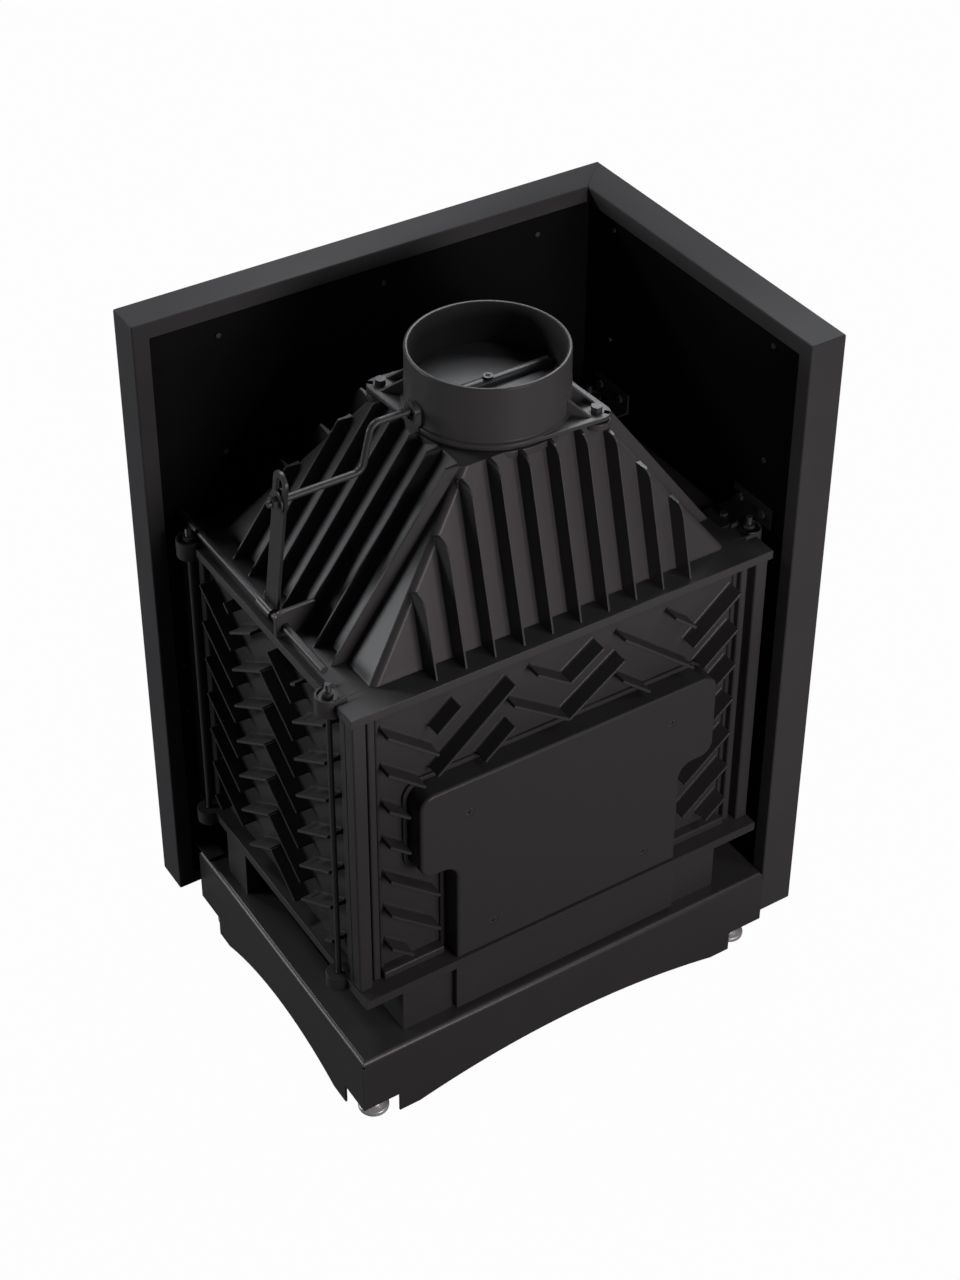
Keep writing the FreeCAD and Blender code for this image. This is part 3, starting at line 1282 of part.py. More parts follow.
def hinge_half(z, side, seat_y, bore_r):
    """A leaf on a flat seat, with its knuckle round the hinge axis."""
    length, thick = HINGE_LEAF
    leaf = box(sorted((HINGE_X, HINGE_X + side * length)), (seat_y - thick, seat_y), z)
    knuckle = upright(HINGE_X, HINGE_Y, z, HINGE_R)
    return joined([leaf, knuckle]).cut(upright(HINGE_X, HINGE_Y, grown(z, OVER), bore_r))


def door_frame():
    """Door frame with a stepped rebate for the pane, hinge leaves, and a pocket for the latch tongue."""
    through = grown(DOOR_Y, OVER)
    behind = DOOR_GLASS_Y + GLASS_T
    leaves = []
    for z in HINGE_Z:
        leaves.append(hinge_half((z, z + HINGE_H), -1, DOOR_Y[0], HINGE_PIN_R + SHAFT_PLAY))
    pocket_y = grown(TONGUE_Y, POCKET_PLAY)
    pocket_x = (DOOR_X[0] - OVER, HANDLE_X + TONGUE_HALF + POCKET_PLAY)
    cuts = [door_ring(DOOR_BAR, through), door_ring(DOOR_SEAT, (DOOR_GLASS_Y, through[1])),
            door_ring(DOOR_STEP, (behind, through[1])), box(pocket_x, pocket_y, KEEPER_Z)]
    cuts.append(handle_bar(through[0], pocket_y[1], HANDLE_SHAFT_R + SHAFT_PLAY))
    return joined([door_ring(0.0, DOOR_Y).cut(cuts)] + leaves)


def door_glass():
    """Ceramic pane that lies in the door's rebate."""
    return door_ring(DOOR_SEAT + GLASS_PLAY, (DOOR_GLASS_Y, DOOR_GLASS_Y + GLASS_T))


def edge_heights(near, far):
    """The spans between two distances from the door's lower and upper edges."""
    return [(DOOR_Z[0] + near, DOOR_Z[0] + far), (DOOR_Z[1] - far, DOOR_Z[1] - near)]


def glass_clips():
    """Flat springs that press the pane into its rebate from behind."""
    y = (DOOR_GLASS_Y + GLASS_T, DOOR_GLASS_Y + GLASS_T + CLIP_T)
    return group([box(grown((x, x), CLIP_W / 2.0), y, z) for x in CLIP_X for z in edge_heights(*CLIP_EDGE)])


def clip_screws():
    """Screws on the clips."""
    edge, radius, height = CLIP_SCREW
    y = DOOR_GLASS_Y + GLASS_T + CLIP_T
    heads = []
    for x in CLIP_X:
        for z, same in edge_heights(edge, edge):
            heads.append(rod((x, y, z), (x, y + height, same), radius))
    return group(heads)


def door_rope_seal():
    """Rope ring on the back of the door, just clear of the cast frame."""
    y = (DOOR_Y[1], FRAME_Y[0] - SEAL_GAP)
    return door_ring(SEAL_EDGE[0], y).cut(door_ring(SEAL_EDGE[1], grown(y, OVER)))


def hinge_brackets():
    """Fixed hinge halves on the front panel."""
    return group([hinge_half((z - HINGE_H, z - FREE), 1, FACADE_Y[0], HINGE_PIN_R) for z in HINGE_Z])


def hinge_pins():
    """Pins that stand in the fixed hinge halves."""
    return group([upright(HINGE_X, HINGE_Y, (z - HINGE_H, z + HINGE_H), HINGE_PIN_R) for z in HINGE_Z])


def handle_bar(start, end, radius):
    """A round bar on the handle's own axis."""
    return rod((HANDLE_X, start, HANDLE_Z), (HANDLE_X, end, HANDLE_Z), radius)


def handle_lever():
    """Handle shaft with a hub outside, a neck for the grip and the latch tongue inside the door."""
    hub_r, hub_l = HUB
    hub = handle_bar(DOOR_Y[0] - hub_l, DOOR_Y[0] - FREE, hub_r)
    shaft = handle_bar(DOOR_Y[0] - OVER, TONGUE_Y[1], HANDLE_SHAFT_R)
    neck = handle_bar(GRIP_Y, DOOR_Y[0] - hub_l + OVER, HANDLE_NECK_R)
    tongue_z = (HANDLE_Z - TONGUE_HALF, HANDLE_Z + TONGUE_REACH)
    tongue = box(grown((HANDLE_X, HANDLE_X), TONGUE_HALF), TONGUE_Y, tongue_z)
    return joined([hub, shaft, neck, tongue])


def handle_grip():
    """Round grip that hangs from the neck."""
    grip = upright(HANDLE_X, GRIP_Y, GRIP_Z, GRIP_R)
    rounded = grip.makeFillet(GRIP_FILLET, round_edges(grip, GRIP_R))
    return rounded.cut(handle_bar(GRIP_Y, DOOR_Y[0], HANDLE_NECK_R))


def ash_drawer():
    """Open sheet drawer under the grate."""
    t = DRAWER_SHEET
    inside_z = (DRAWER_Z[0] + t, DRAWER_Z[1] + OVER)
    inside = box(both_ways(DRAWER_X - t), grown(DRAWER_Y, -t), inside_z)
    return box(both_ways(DRAWER_X), DRAWER_Y, DRAWER_Z).cut(inside)


def drawer_front():
    """Plate over the drawer opening, on the drawer's front wall."""
    return box(both_ways(DRAWER_FRONT_X), (DRAWER_Y[0] - DRAWER_FRONT_T, DRAWER_Y[0]), DRAWER_FRONT_Z)


def drawer_knob():
    """Knob in the middle of the drawer front."""
    radius, length, hole_r = DRAWER_KNOB
    back = DRAWER_Y[0] - DRAWER_FRONT_T
    z = sum(DRAWER_FRONT_Z) / 2.0
    knob = turned_knob(0.0, z, back - length, back, radius)
    return knob.cut(rod((0, back - length / 2.0, z), (0, back, z), hole_r))


def air_slide():
    """Plate with vents that slides across the vents of the air chamber, with a stem to the front."""
    y = (AIR_FRONT_Y - FREE - SLIDE_T, AIR_FRONT_Y - FREE)
    end = VENT_X + VENT_PITCH * (VENT_COUNT - 1) + VENT_W
    plate = box((VENT_X - SLIDE_MARGIN, end + SLIDE_MARGIN), y, SLIDE_Z)
    stem = rod((STEM_X, STEM_END_Y, STEM_Z), (STEM_X, y[1], STEM_Z), STEM_R)
    return joined([plate.cut(vents(VENT_X + SLIDE_TRAVEL, VENT_COUNT - 1, y)), stem])


def air_knob():
    """Knob on the air slide's stem."""
    back = FACADE_Y[0] - KNOB_GAP
    knob = turned_knob(STEM_X, STEM_Z, AIR_KNOB_FRONT_Y, back, AIR_KNOB_R)
    return knob.cut(rod((STEM_X, STEM_END_Y, STEM_Z), (STEM_X, back + OVER, STEM_Z), STEM_R + SHAFT_PLAY))


def rear_lining():
    """Refractory slab in front of the rear wall."""
    return box((REAR_SLAB_X, LINING_SIDE_X[0]), LINING_REAR_Y, SLAB_Z)


def side_lining():
    """Refractory slab inside the finned side wall."""
    return box(LINING_SIDE_X, (SIDE_SLAB_Y, LINING_REAR_Y[1]), SLAB_Z)


def hearth_bricks():
    """Floor slab around the grate."""
    z = (HEARTH_Z[1], SLAB_Z[0])
    return box(HEARTH_SLAB_X, HEARTH_SLAB_Y, z).cut(box(GRATE_X, GRATE_Y, z))


def grate():
    """Cast grate with long slots."""
    z = (HEARTH_Z[1], HEARTH_Z[1] + GRATE_T)
    count, pitch, width, first, border = GRATE_BARS
    slots = []
    for i in range(count):
        x = GRATE_X[0] + first + pitch * i
        slots.append(box((x, x + width), grown(GRATE_Y, -border), grown(z, OVER)))
    return box(grown(GRATE_X, -GRATE_PLAY), grown(GRATE_Y, -GRATE_PLAY), z).cut(slots)


def baffle():
    """Slab across the upper part of the fire chamber, resting on the linings."""
    return box(BAFFLE_X, BAFFLE_Y, (SLAB_Z[1], SLAB_Z[1] + BAFFLE_T))


def log_guard():
    """Low rail along the two glazed sides."""
    z = (SLAB_Z[0], SLAB_Z[0] + GUARD_H)
    front = box(GUARD_X, (GUARD_Y[0], GUARD_Y[0] + GUARD_T), z)
    side = box((GUARD_X[0], GUARD_X[0] + GUARD_T), GUARD_Y, z)
    return joined([front, side])


def all_parts():
    """Every node by name."""
    stand = [base_frame, foot_brackets, foot_locknuts, air_box, air_box_cover]
    body = [bottom_plate, rear_plate, side_plate, front_frame, side_window_frame, top_frame, hood, hood_ribs,
            rear_cover, cover_screws, tie_rods, tie_rod_washers, tie_rod_nuts, flue_collar, collar_screws]
    damper = [damper_disc, damper_shaft, damper_screw, pin_fasteners]
    damper += [pull_rod, damper_lever, damper_knob]
    surround = [facade_front, facade_side, front_lining_sheet, side_lining_sheet, lining_screws,
                facade_brackets, bracket_bolts, side_glass_frame, side_glass]
    door = [door_frame, door_glass, glass_clips, clip_screws, door_rope_seal, hinge_brackets, hinge_pins,
            handle_lever, handle_grip]
    controls = [ash_drawer, drawer_front, drawer_knob, air_slide, air_knob]
    chamber = [rear_lining, side_lining, hearth_bricks, grate, baffle, log_guard]
    makers = stand + body + damper + surround + door + controls + chamber
    parts = {maker.__name__: maker() for maker in makers}
    for number, (x, y) in enumerate(foot_places(), start=1):
        parts["levelling_foot_%d" % number] = levelling_foot(x, y)
    return parts


def main():
    """Move every piece to the object's own origin and write it."""
    os.makedirs("parts", exist_ok=True)
    middle_x = sum(FACADE_X) / 2.0
    middle_y = (KNOB_FRONT_Y + BASE_Y[1]) / 2.0
    for name, shape in all_parts().items():
        shape.translate(V(-middle_x, -middle_y, 0))
        if not shape.isValid():
            raise ValueError("not a valid shape: " + name)
        shape.exportStep("parts/%s.step" % name)


main()
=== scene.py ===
"""Looks of a corner fireplace insert: cast body, sheet stand, steel surround, door and damper.

Sizes are written in millimetres about the flue's axis, and at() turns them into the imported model's metres.
Each piece that is made here stands for one or more nodes of that model.
"""
import json
import math

import bmesh
import bpy
from mathutils import Matrix, Vector


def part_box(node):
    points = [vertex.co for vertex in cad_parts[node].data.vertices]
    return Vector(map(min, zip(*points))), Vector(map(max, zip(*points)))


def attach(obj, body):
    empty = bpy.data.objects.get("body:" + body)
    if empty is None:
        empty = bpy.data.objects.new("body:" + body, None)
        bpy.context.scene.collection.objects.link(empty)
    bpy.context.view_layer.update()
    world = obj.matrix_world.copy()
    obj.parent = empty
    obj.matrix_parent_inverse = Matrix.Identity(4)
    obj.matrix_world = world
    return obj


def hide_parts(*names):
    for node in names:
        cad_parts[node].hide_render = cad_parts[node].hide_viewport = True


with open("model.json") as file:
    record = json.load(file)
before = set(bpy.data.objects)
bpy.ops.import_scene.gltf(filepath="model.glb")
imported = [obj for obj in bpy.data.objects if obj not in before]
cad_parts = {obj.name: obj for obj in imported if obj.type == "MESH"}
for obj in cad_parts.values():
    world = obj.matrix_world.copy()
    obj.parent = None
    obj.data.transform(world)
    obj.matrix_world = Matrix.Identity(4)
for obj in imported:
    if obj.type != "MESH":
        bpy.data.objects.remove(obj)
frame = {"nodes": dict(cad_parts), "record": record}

bl_info = {
    "name": "Corner fireplace insert",
    "version": (1, 0, 0),
    "blender": (4, 5, 0),
    "location": "View3D > Sidebar > Insert",
    "description": "Models and finishes the pieces of a corner fireplace insert on its packed frame",
    "category": "Object",
}

MM = 0.001
X, Y, Z = range(3)
RIGHT = Vector((1.0, 0.0, 0.0))
BACK = Vector((0.0, 1.0, 0.0))
UP = Vector((0.0, 0.0, 1.0))
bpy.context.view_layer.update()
RECORD = frame["record"]
BODY_OF = {node: body for body, nodes in RECORD["behaviour"]["bodies"].items() for node in nodes}
SLOT_OF = {part["node"]: part["material_slot"] for part in RECORD["subparts"]}

# The flue's axis on the floor
FLUE = Vector((*RECORD["mounts"][0]["pos_m"][:2], 0.0))

# Merging of a copied node: points closer than this are one, faces flatter than this are one
SAME_POINT = 0.01 * MM
FLAT_ANGLE = math.radians(0.6)

# Edges sharper than the first angle are rounded, on a fin those sharper than the second
SHARP_ANGLE = math.radians(33.0)
FIN_ANGLE = math.radians(49.5)

# A face looks along a direction where its normal agrees by this share
FACING = 0.9

# Small gaps: a tool reaches past a face by OVER, a fin's foot lies SINK deep in its wall
OVER = 1.0
SINK = 1.0

# Sides of rounds, and steps across rounded edges
ROUND_SIDES = 128
ARCH_SIDES = 720
TURNED_SIDES = 64
BAR_SIDES = 48
BORE_SIDES = 32
THIN_SIDES = 24
HEXAGON = 6
EDGE_STEPS = 3
FACE_STEPS = 4
FOLD_STEPS = 5
HIP_STEPS = 6
CORNER_STEPS = 8

# Top frame and hood
FRAME_X = 300.0
FRAME_Y = (-247.0, 186.0)
FRAME_Z = (639.0, 652.0)
HOOD_FOOT_X = 252.0
HOOD_FOOT_Y = (-215.0, 151.0)
HOOD_HEAD = 95.0
HOOD_TOP = 870.0
HOOD_WALL = 8.0
HIP_ROUND = 8.0
SEAT_R = 103.0
SEAT_H = 10.0
BORE_R = 93.5
RIB_T = 6.0
RIB_TAPER = 0.45
REAR_RIB_H = 26.0
SIDE_RIB_H = 19.0
RIB_BELOW_EDGE = 6.0
RIB_RUN_IN = 30.0
REAR_RIB_X = [20.0 + 40.0 * i for i in range(5)]
SIDE_RIB_Y = [88.0 - 40.0 * i for i in range(7)]

# Tie rods, their ears and the guide of the pull rod
TIE_X = 300.0
TIE_Y = (-213.0, 135.0)
TIE_Z = (180.0, 672.0)
TIE_R = 4.0
THREAD_LENGTH = 34.0
THREAD_PITCH = 1.6
THREAD_DEPTH = 0.5
LUG_R = 16.5
LUG_DEPTH = 20.0
LUG_ARM_X = 262.0
LUG_RIM_X = 284.0
LUG_RIM = 3.5
LUG_RIM_H = 5.0
GUIDE_END = 299.0
GUIDE_Y = (4.5, 11.5)
GUIDE_TOP = 686.0
GUIDE_ROUND = 10.0
PULL_ROD = (287.0, 664.0)
PULL_ROD_R = 5.0

# Hearth plate and cast walls with herringbone fins
HEARTH_TOP = 211.0
WALL_X = 296.0
WALL_Z = (HEARTH_TOP, FRAME_Z[0])
WALL_T = 8.0
REAR_FACE = 165.0
SIDE_FACE = 278.0
REAR_FIN_H = 23.0
SIDE_FIN_H = 22.0
FIN_T = 5.0
FIN_TAPER = 0.82
REAR_COLUMNS = [((254.0, 259.0), 3.5), ((262.0, 272.0), 9.0), ((278.0, WALL_X), 17.0)]
SIDE_COLUMNS = [((-235.0, -228.0), 14.0), ((-222.0, -208.0), 8.0), ((132.0, 157.0), 8.0)]
SIDE_WALL_Y = (-235.0, 157.0)
SILL_X = (173.0, 260.0)
SILL_OUT = 14.0
SILL_H = 12.0
AIR_HOLES = [(-120.0 + 60.0 * i, 440.0) for i in range(5)]
AIR_HOLE_R = 9.0
FIN_SLOPE = math.tan(math.radians(40.0))
REAR_FIELD_Z = (241.0, 608.0)
OUTER_FIN_X = (184.0, 253.0)
OUTER_FIN_TOPS = [606.0 - 56.5 * i for i in range(7)]
MIDDLE_FIN_X = (78.0, 186.0)
MIDDLE_FIN_LOWS = [452.0 + 64.0 * i for i in range(3)]
INNER_FIN_X = (0.0, 80.0)
INNER_FIN_LOWS = [518.0 + 56.0 * i for i in range(2)]
INNER_FIN_SLOPE = 0.71
SIDE_FIN_MID = -37.0
SIDE_FIN_COLUMN = 78.0
SIDE_FIN_RISE = 52.0
SIDE_FIN_PEAKS = [567.0 - 58.4 * i for i in range(-1, 7)]
SIDE_FIN_DROP = 22.0
SIDE_FIELD_Z = (234.0, 612.0)

# Steps of a fin's flared foot, the share of its height above which edges are free, the parts in which a fin's
# line is tried, and how many times further a column is rounded than other castings
FLARE_STEPS = 3
ABOVE_FLARE = 0.99
LINE_PARTS = 200
COLUMN_ROUND = 1.6

# Rear cover: a wide head on a narrow stem
COVER_Y = (165.0, 198.0)
COVER_Z = (213.0, 500.0)
COVER_HEAD = 217.0
COVER_STEM = 166.0
COVER_STEP = 371.0
COVER_CORNER = 20.0
COVER_GAP = 7.0
SEAT_RIM_W = 7.0
SEAT_RIM_GAP = 0.3
SEAT_RIM_OUT = 4.0
COVER_SCREWS = [(149.0, 451.0), (114.0, 252.0)]
COVER_SCREW_R = 6.45
COVER_SCREW_DEPTH = 3.0

# Flue collar: its outline as radius and height pairs, its ears and the bosses of the damper shaft
COLLAR_OUTLINE = [(93.5, 870.0), (93.5, 952.5), (94.3, 953.6), (95.6, 954.0), (97.2, 953.8), (98.2, 953.0),
                  (98.5, 951.8), (98.5, 912.8), (99.0, 911.6), (99.0, 882.6), (99.6, 881.2), (101.2, 880.6),
                  (102.6, 879.8), (103.0, 878.4), (103.0, 876.2), (102.4, 874.8), (101.0, 874.0),
                  (98.6, 873.4), (98.6, 870.0), (93.5, 870.0)]
FOOT_R = 102.5
EAR = 92.0
EAR_R = 17.0
EAR_Z = (873.0, 879.0)
EAR_STEPS = 12
EAR_TURNS = (135.0, -45.0)
EAR_SLOT_W = 4.0
EAR_SLOT_DEPTH = 3.5
GUSSET_T = 5.0
GUSSET_H = 22.0
GUSSET_R = (97.0, 128.0)
BOSS_X = (95.0, 107.0)
BOSS_R = 12.0
DAMPER_Z = 898.0
SHAFT_HOLE_R = 4.55
CRANK_R = 61.0
WASHER_R = 14.0
WASHER_T = 1.8
PIN_NUT_R = 8.0
PIN_NUT_H = 7.0

# Stand: the tool for a corner's notch reaches past the skirt by the factor NOTCH_PAST
STAND_X = 312.0
STAND_Y = (-233.0, 210.0)
STAND_Z = (5.0, 120.0)
STAND_SHEET = 3.0
STAND_FOLD = 8.0
ARCH_TOP = 31.0
ARCH_X = 230.0
ARCH_Y = (-154.0, 132.0)
NOTCH_X = 260.0
NOTCH_Y = (-183.0, 162.0)
NOTCH_Z = 35.0
NOTCH_PAST = 1.01
SLIT_R = 2.0
SLIT_REACH = 6.0
RUNNER = ((118.0, 142.0), (-233.0, 60.0), (117.0, 123.6))
FOOT_OUTLINE = [(0.0, 0.0), (18.6, 0.0), (19.7, 0.8), (20.0, 2.2), (20.0, 4.6), (19.4, 6.2), (18.0, 7.0),
                (15.0, 7.4), (10.5, 10.6), (8.0, 15.0), (0.0, 15.0)]
FOOT_NUT_Z = (15.0, 24.0)
FOOT_NUT_R = 9.8
STUD_R = 5.0
STUD_TOP = 92.0
FEET = [(282.0, 181.0), (-282.0, 181.0), (-282.0, -204.0), (282.0, -204.0)]

# Turned knobs: outline as shares of the radius and of the length, from the panel outwards
KNOB_SHAPE = [(0.0, 0.0), (0.80, 0.0), (0.82, 0.04), (0.72, 0.14), (0.60, 0.30), (0.57, 0.40), (0.62, 0.46),
              (0.82, 0.50), (0.95, 0.56), (1.0, 0.66), (1.0, 0.84), (0.94, 0.93), (0.80, 0.985), (0.60, 1.0),
              (0.0, 1.0)]
GRIP_SHAPE = [(0.0, 0.0), (0.5, 0.004), (0.82, 0.02), (0.96, 0.045), (1.0, 0.09), (0.93, 0.5), (1.0, 0.91),
              (0.96, 0.955), (0.82, 0.98), (0.5, 0.996), (0.0, 1.0)]

# Surround: folded panels with their openings
FACADE_X = (-364.0, 336.0)
FACADE_Y = (-301.0, 207.0)
FACADE_Z = (46.0, 954.0)
FACADE_DEPTH = 51.0
FACADE_SHEET = 2.5
FACADE_LIP = 22.0
MITRE_GAP = 0.3
WINDOW_X = (-272.0, 272.0)
WINDOW_Y = (-215.0, 135.0)
WINDOW_Z = (224.0, 616.0)
WINDOW_RETURN = 37.0
KEEPER_Y = (-279.0, -268.0)
KEEPER_Z = (411.0, 459.0)
FRONT_HOLES = [(WINDOW_X, WINDOW_Z), ((-156.0, 156.0), (121.0, 188.0)), ((208.0, 242.0), (150.0, 162.0))]
ROD_HOLE_R = 6.5

# Refractory slabs: the axis along which their boards lie side by side, how many, and the joint between them
BOARDS = [("rear_lining", X, 3), ("side_lining", Y, 3), ("baffle", X, 2)]
BOARD_JOINT = 0.8

# Heights between which the castings' colour grows paler upwards, as painted light that brightens the hood and
# the top frame
PAINTED_LIGHT_Z = (500.0, 650.0)

# Painted sheets by slot: their material's name, their colour's name, roughness and gloss
PAINTS = {
    "sheet_black": ("sheet_steel_black", "sheet", 0.36, 0.45),
    "facade_paint": ("surround_paint", "facade", 0.46, 0.04),
    "lining_black": ("lining_paint", "lining", 0.6, 0.12),
}

# Finishes with one soft pattern, by slot: its size in mm and its detail, the darkest and the lightest shade,
# the lowest roughness and what the pattern adds, the relief's depth in mm and its strength, and fixed values
PLAIN_FINISHES = {
    "dark_rod": {"name": "blackened_steel", "colour": "rod", "marks": (2.5, 3.0), "shades": (0.8, 1.2),
                 "rough": (0.34, 0.18), "relief": (0.08, 0.3), "fixed": {}},
    "zinc": {"name": "zinc_plate", "colour": "zinc", "marks": (6.0, 3.0), "shades": (0.85, 1.1),
             "rough": (0.26, 0.16), "relief": (0.05, 0.25), "fixed": {"Metallic": 0.4}},
    "knob_black": {"name": "moulded_black", "colour": "knob", "marks": (1.8, 2.0), "shades": (0.8, 1.3),
                   "rough": (0.28, 0.1), "relief": (0.06, 0.3), "fixed": {}},
    "ceramic_glass": {"name": "ceramic_glass", "colour": "glass", "marks": (140.0, 3.0),
                      "shades": (0.92, 1.05), "rough": (0.02, 0.03), "relief": None,
                      "fixed": {"IOR": 1.47, "Transmission Weight": 1.0}},
}

# Marks in the other finishes: lumps of castings, waves of sprayed paint, fuzz and strands of rope,
# dust and flakes of boards
LUMP = 28.0 * MM
WAVE = 90.0 * MM
FUZZ = 0.9 * MM
DUST = 35.0 * MM
FLAKE = 4.0 * MM
STRAND_SCALE = 160.0
STRAND_TURN = 0.6

# Places of the factor, the two colours and the result among the sockets of a node that mixes colours
MIX_FACTOR = 0
MIX_FIRST = 6
MIX_SECOND = 7
MIX_RESULT = 2

# Camera of the photograph: azimuth and elevation in degrees, focal length and axis in pixels of its frame
PHOTO_WIDTH = 960.0
PHOTO_HEIGHT = 1280.0
VIEW_AZIMUTH = 148.02
VIEW_ELEVATION = 33.74
VIEW_ROLL = -0.10
VIEW_PLACE = Vector((1.3135, 2.0750, 2.4597))
FOCAL_PIXELS = 2439.5
AXIS_PIXEL = (455.5, 409.7)
SENSOR = 36.0

# The floor's width in metres, and how far it is even white to each kind of ray
FLOOR_SIZE = 60.0
RAY_SHARES = {"Is Camera Ray": 0.985, "Is Transmission Ray": 1.0, "Is Glossy Ray": 0.06}

# Lamps: where they stand, their size and tint, and the point that they face, in metres
AIM = (0.0, 0.0, 0.5)
LAMPS = {
    "key": ((-2.25, -1.9, 3.8), 2.2, (0.94, 0.955, 1.0)),
    "rear": ((-0.15, 1.8, 0.82), 0.7, (1.0, 0.88, 0.89)),
    "side": ((1.0, -2.2, 2.35), 0.45, (1.0, 0.95, 0.96)),
    "rim": ((2.4, -1.6, 1.0), 0.9, (0.94, 0.96, 1.0)),
    "edge": ((-1.4, 1.8, 2.75), 0.6, (0.95, 0.97, 1.0)),
}


def at(x, y, z):
    """A point in millimetres about the flue's axis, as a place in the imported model."""
    return FLUE + Vector((x, y, z)) * MM


def both(reach):
    """From one side of the flue to the other."""
    return (-reach, reach)


def past(reach, by=OVER):
    """A reach made longer at both ends."""
    return (reach[0] - by, reach[1] + by)


def colour(name, description, default):
    """A colour that a user may change."""
    return bpy.props.FloatVectorProperty(name=name, description=description, subtype="COLOR", size=3,
                                         min=0.0, max=1.0, default=default)


def length(name, description, default):
    """A length in metres that a user may change."""
    return bpy.props.FloatProperty(name=name, description=description, unit="LENGTH", subtype="DISTANCE",
                                   min=0.0, precision=5, default=default)


def power(name, description, default):
    """A lamp's power that a user may change."""
    return bpy.props.FloatProperty(name=name, description=description, unit="POWER", min=0.0, default=default)


class InsertFinishes(bpy.types.PropertyGroup):
    """Colours and grain of the insert's materials."""

    cast: colour("Cast iron", "Matt black paint on the castings", (0.058, 0.058, 0.059))
    sheet: colour("Sheet steel", "Matt black paint on the stand and the door", (0.042, 0.042, 0.043))
    facade: colour("Surround", "Fine stove paint on the surround", (0.070, 0.070, 0.072))
    lining: colour("Lining", "Dull black of the sheets inside the surround", (0.004, 0.004, 0.0043))
    rod: colour("Rods", "Blackened steel of rods, shafts and fasteners", (0.050, 0.050, 0.052))
    zinc: colour("Zinc", "Plated feet", (0.70, 0.71, 0.73))
    knob: colour("Knobs", "Black moulded knobs and grip", (0.012, 0.012, 0.012))
    glass: colour("Glass", "Smoked ceramic glass", (0.72, 0.69, 0.64))
    rope: colour("Rope", "Glass fibre rope of the door seal", (0.13, 0.125, 0.12))
    board: colour("Refractory", "Pressed refractory boards", (0.46, 0.41, 0.33))
    grain: length("Cast grain", "Size of the grain on the castings", 1.5 * MM)
    fleck: length("Paint fleck", "Size of the fleck in the stove paint", 0.8 * MM)


class InsertEdges(bpy.types.PropertyGroup):
    """How far edges are rounded."""

    cast: length("Castings", "Radius on the edges of the castings", 1.6 * MM)
    fin: length("Fins", "Radius on the free edges of the fins", 1.5 * MM)
    flare: length("Fin feet", "Fillet at the foot of a fin on a wall", 3.0 * MM)
    rib: length("Rib feet", "Fillet at the foot of a rib on the hood", 1.5 * MM)
    cover: length("Cover", "Radius round the face of the rear cover", 4.5 * MM)
    sheet: length("Sheets", "Radius on the edges of cut sheet", 0.5 * MM)
    fold: length("Folds", "Outer radius of folded sheet", 2.4 * MM)
    turned: length("Turned", "Radius on turned and cut steel", 0.4 * MM)
    board: length("Boards", "Radius on the refractory boards", 1.5 * MM)
    rope: length("Rope", "Radius on the rope of the door seal", 4.2 * MM)


class InsertStage(bpy.types.PropertyGroup):
    """Light and ground."""

    key: power("Key light", "Power of the lamp above the front corner", 150.0)
    rear: power("Rear light", "Power of the lamp behind", 13.5)
    side: power("Side light", "Power of the lamp above the finned side", 20.0)
    rim: power("Rim light", "Power of the low lamp in front of the finned side", 25.0)
    edge: power("Edge light", "Power of the lamp above the rear", 8.0)
    sky: bpy.props.FloatProperty(name="Sky", description="Level of the even light from all around",
                                 min=0.0, default=0.008)
    floor: colour("Floor", "Shade of the floor that the object sees", (0.10, 0.10, 0.10))


class Signal:
    """A value in a node tree: operators between signals and numbers become Math nodes."""

    def __init__(self, tree, socket):
        self.tree = tree
        self.socket = socket

    def reckon(self, operation, other):
        return self.tree.node("ShaderNodeMath", {"operation": operation}, {0: self, 1: other})

    def __add__(self, other):
        return self.reckon("ADD", other)

    def __mul__(self, other):
        return self.reckon("MULTIPLY", other)

    __radd__ = __add__
    __rmul__ = __mul__


class Tree:
    """The nodes of a material or a world, written as Python expressions."""

    def __init__(self, owner):
        owner.use_nodes = True
        self.owner = owner
        self.nodes = owner.node_tree.nodes
        self.links = owner.node_tree.links
        self.nodes.clear()

    def node(self, kind, settings=None, inputs=None, out=0):
        """Add a node, set it up, feed its sockets, and hand back one of its outputs."""
        made = self.nodes.new(kind)
        for key, value in (settings or {}).items():
            setattr(made, key, value)
        for key, value in (inputs or {}).items():
            self.feed(made.inputs[key], value)
        return Signal(self, made.outputs[out]) if made.outputs else None

    def feed(self, socket, value):
        """Link a signal to a socket, or set the socket's own value."""
        if isinstance(value, Signal):
            self.links.new(value.socket, socket)
        else:
            socket.default_value = value


class Finish(Tree):
    """The material of a piece, on the piece's own coordinates."""

    def __init__(self, name):
        super().__init__(bpy.data.materials.new(name))
        self.place = self.node("ShaderNodeTexCoord", out="Object")

    def noise(self, size, detail):
        """Soft noise between 0 and 1 whose marks are about a given size."""
        inputs = {"Vector": self.place, "Scale": 1.0 / size, "Detail": detail}
        return self.node("ShaderNodeTexNoise", inputs=inputs)

    def shades(self, factor, base, darker, lighter):
        """A colour that runs from a darker to a lighter shade of a base colour."""
        first, second = [[min(1.0, part * shade) for part in base] + [1.0] for shade in (darker, lighter)]
        inputs = {MIX_FACTOR: factor, MIX_FIRST: first, MIX_SECOND: second}
        return self.node("ShaderNodeMix", {"data_type": "RGBA"}, inputs, out=MIX_RESULT)

    def bump(self, height, depth, strength):
        """Bend the surface's normal by a height pattern of a given depth."""
        return self.node("ShaderNodeBump", inputs={"Height": height, "Distance": depth, "Strength": strength})

    def surface(self, inputs):
        """The shaded surface, as a principled shader with its inputs by name."""
        shaded = self.node("ShaderNodeBsdfPrincipled", inputs=inputs)
        self.node("ShaderNodeOutputMaterial", inputs={"Surface": shaded})
        return self.owner


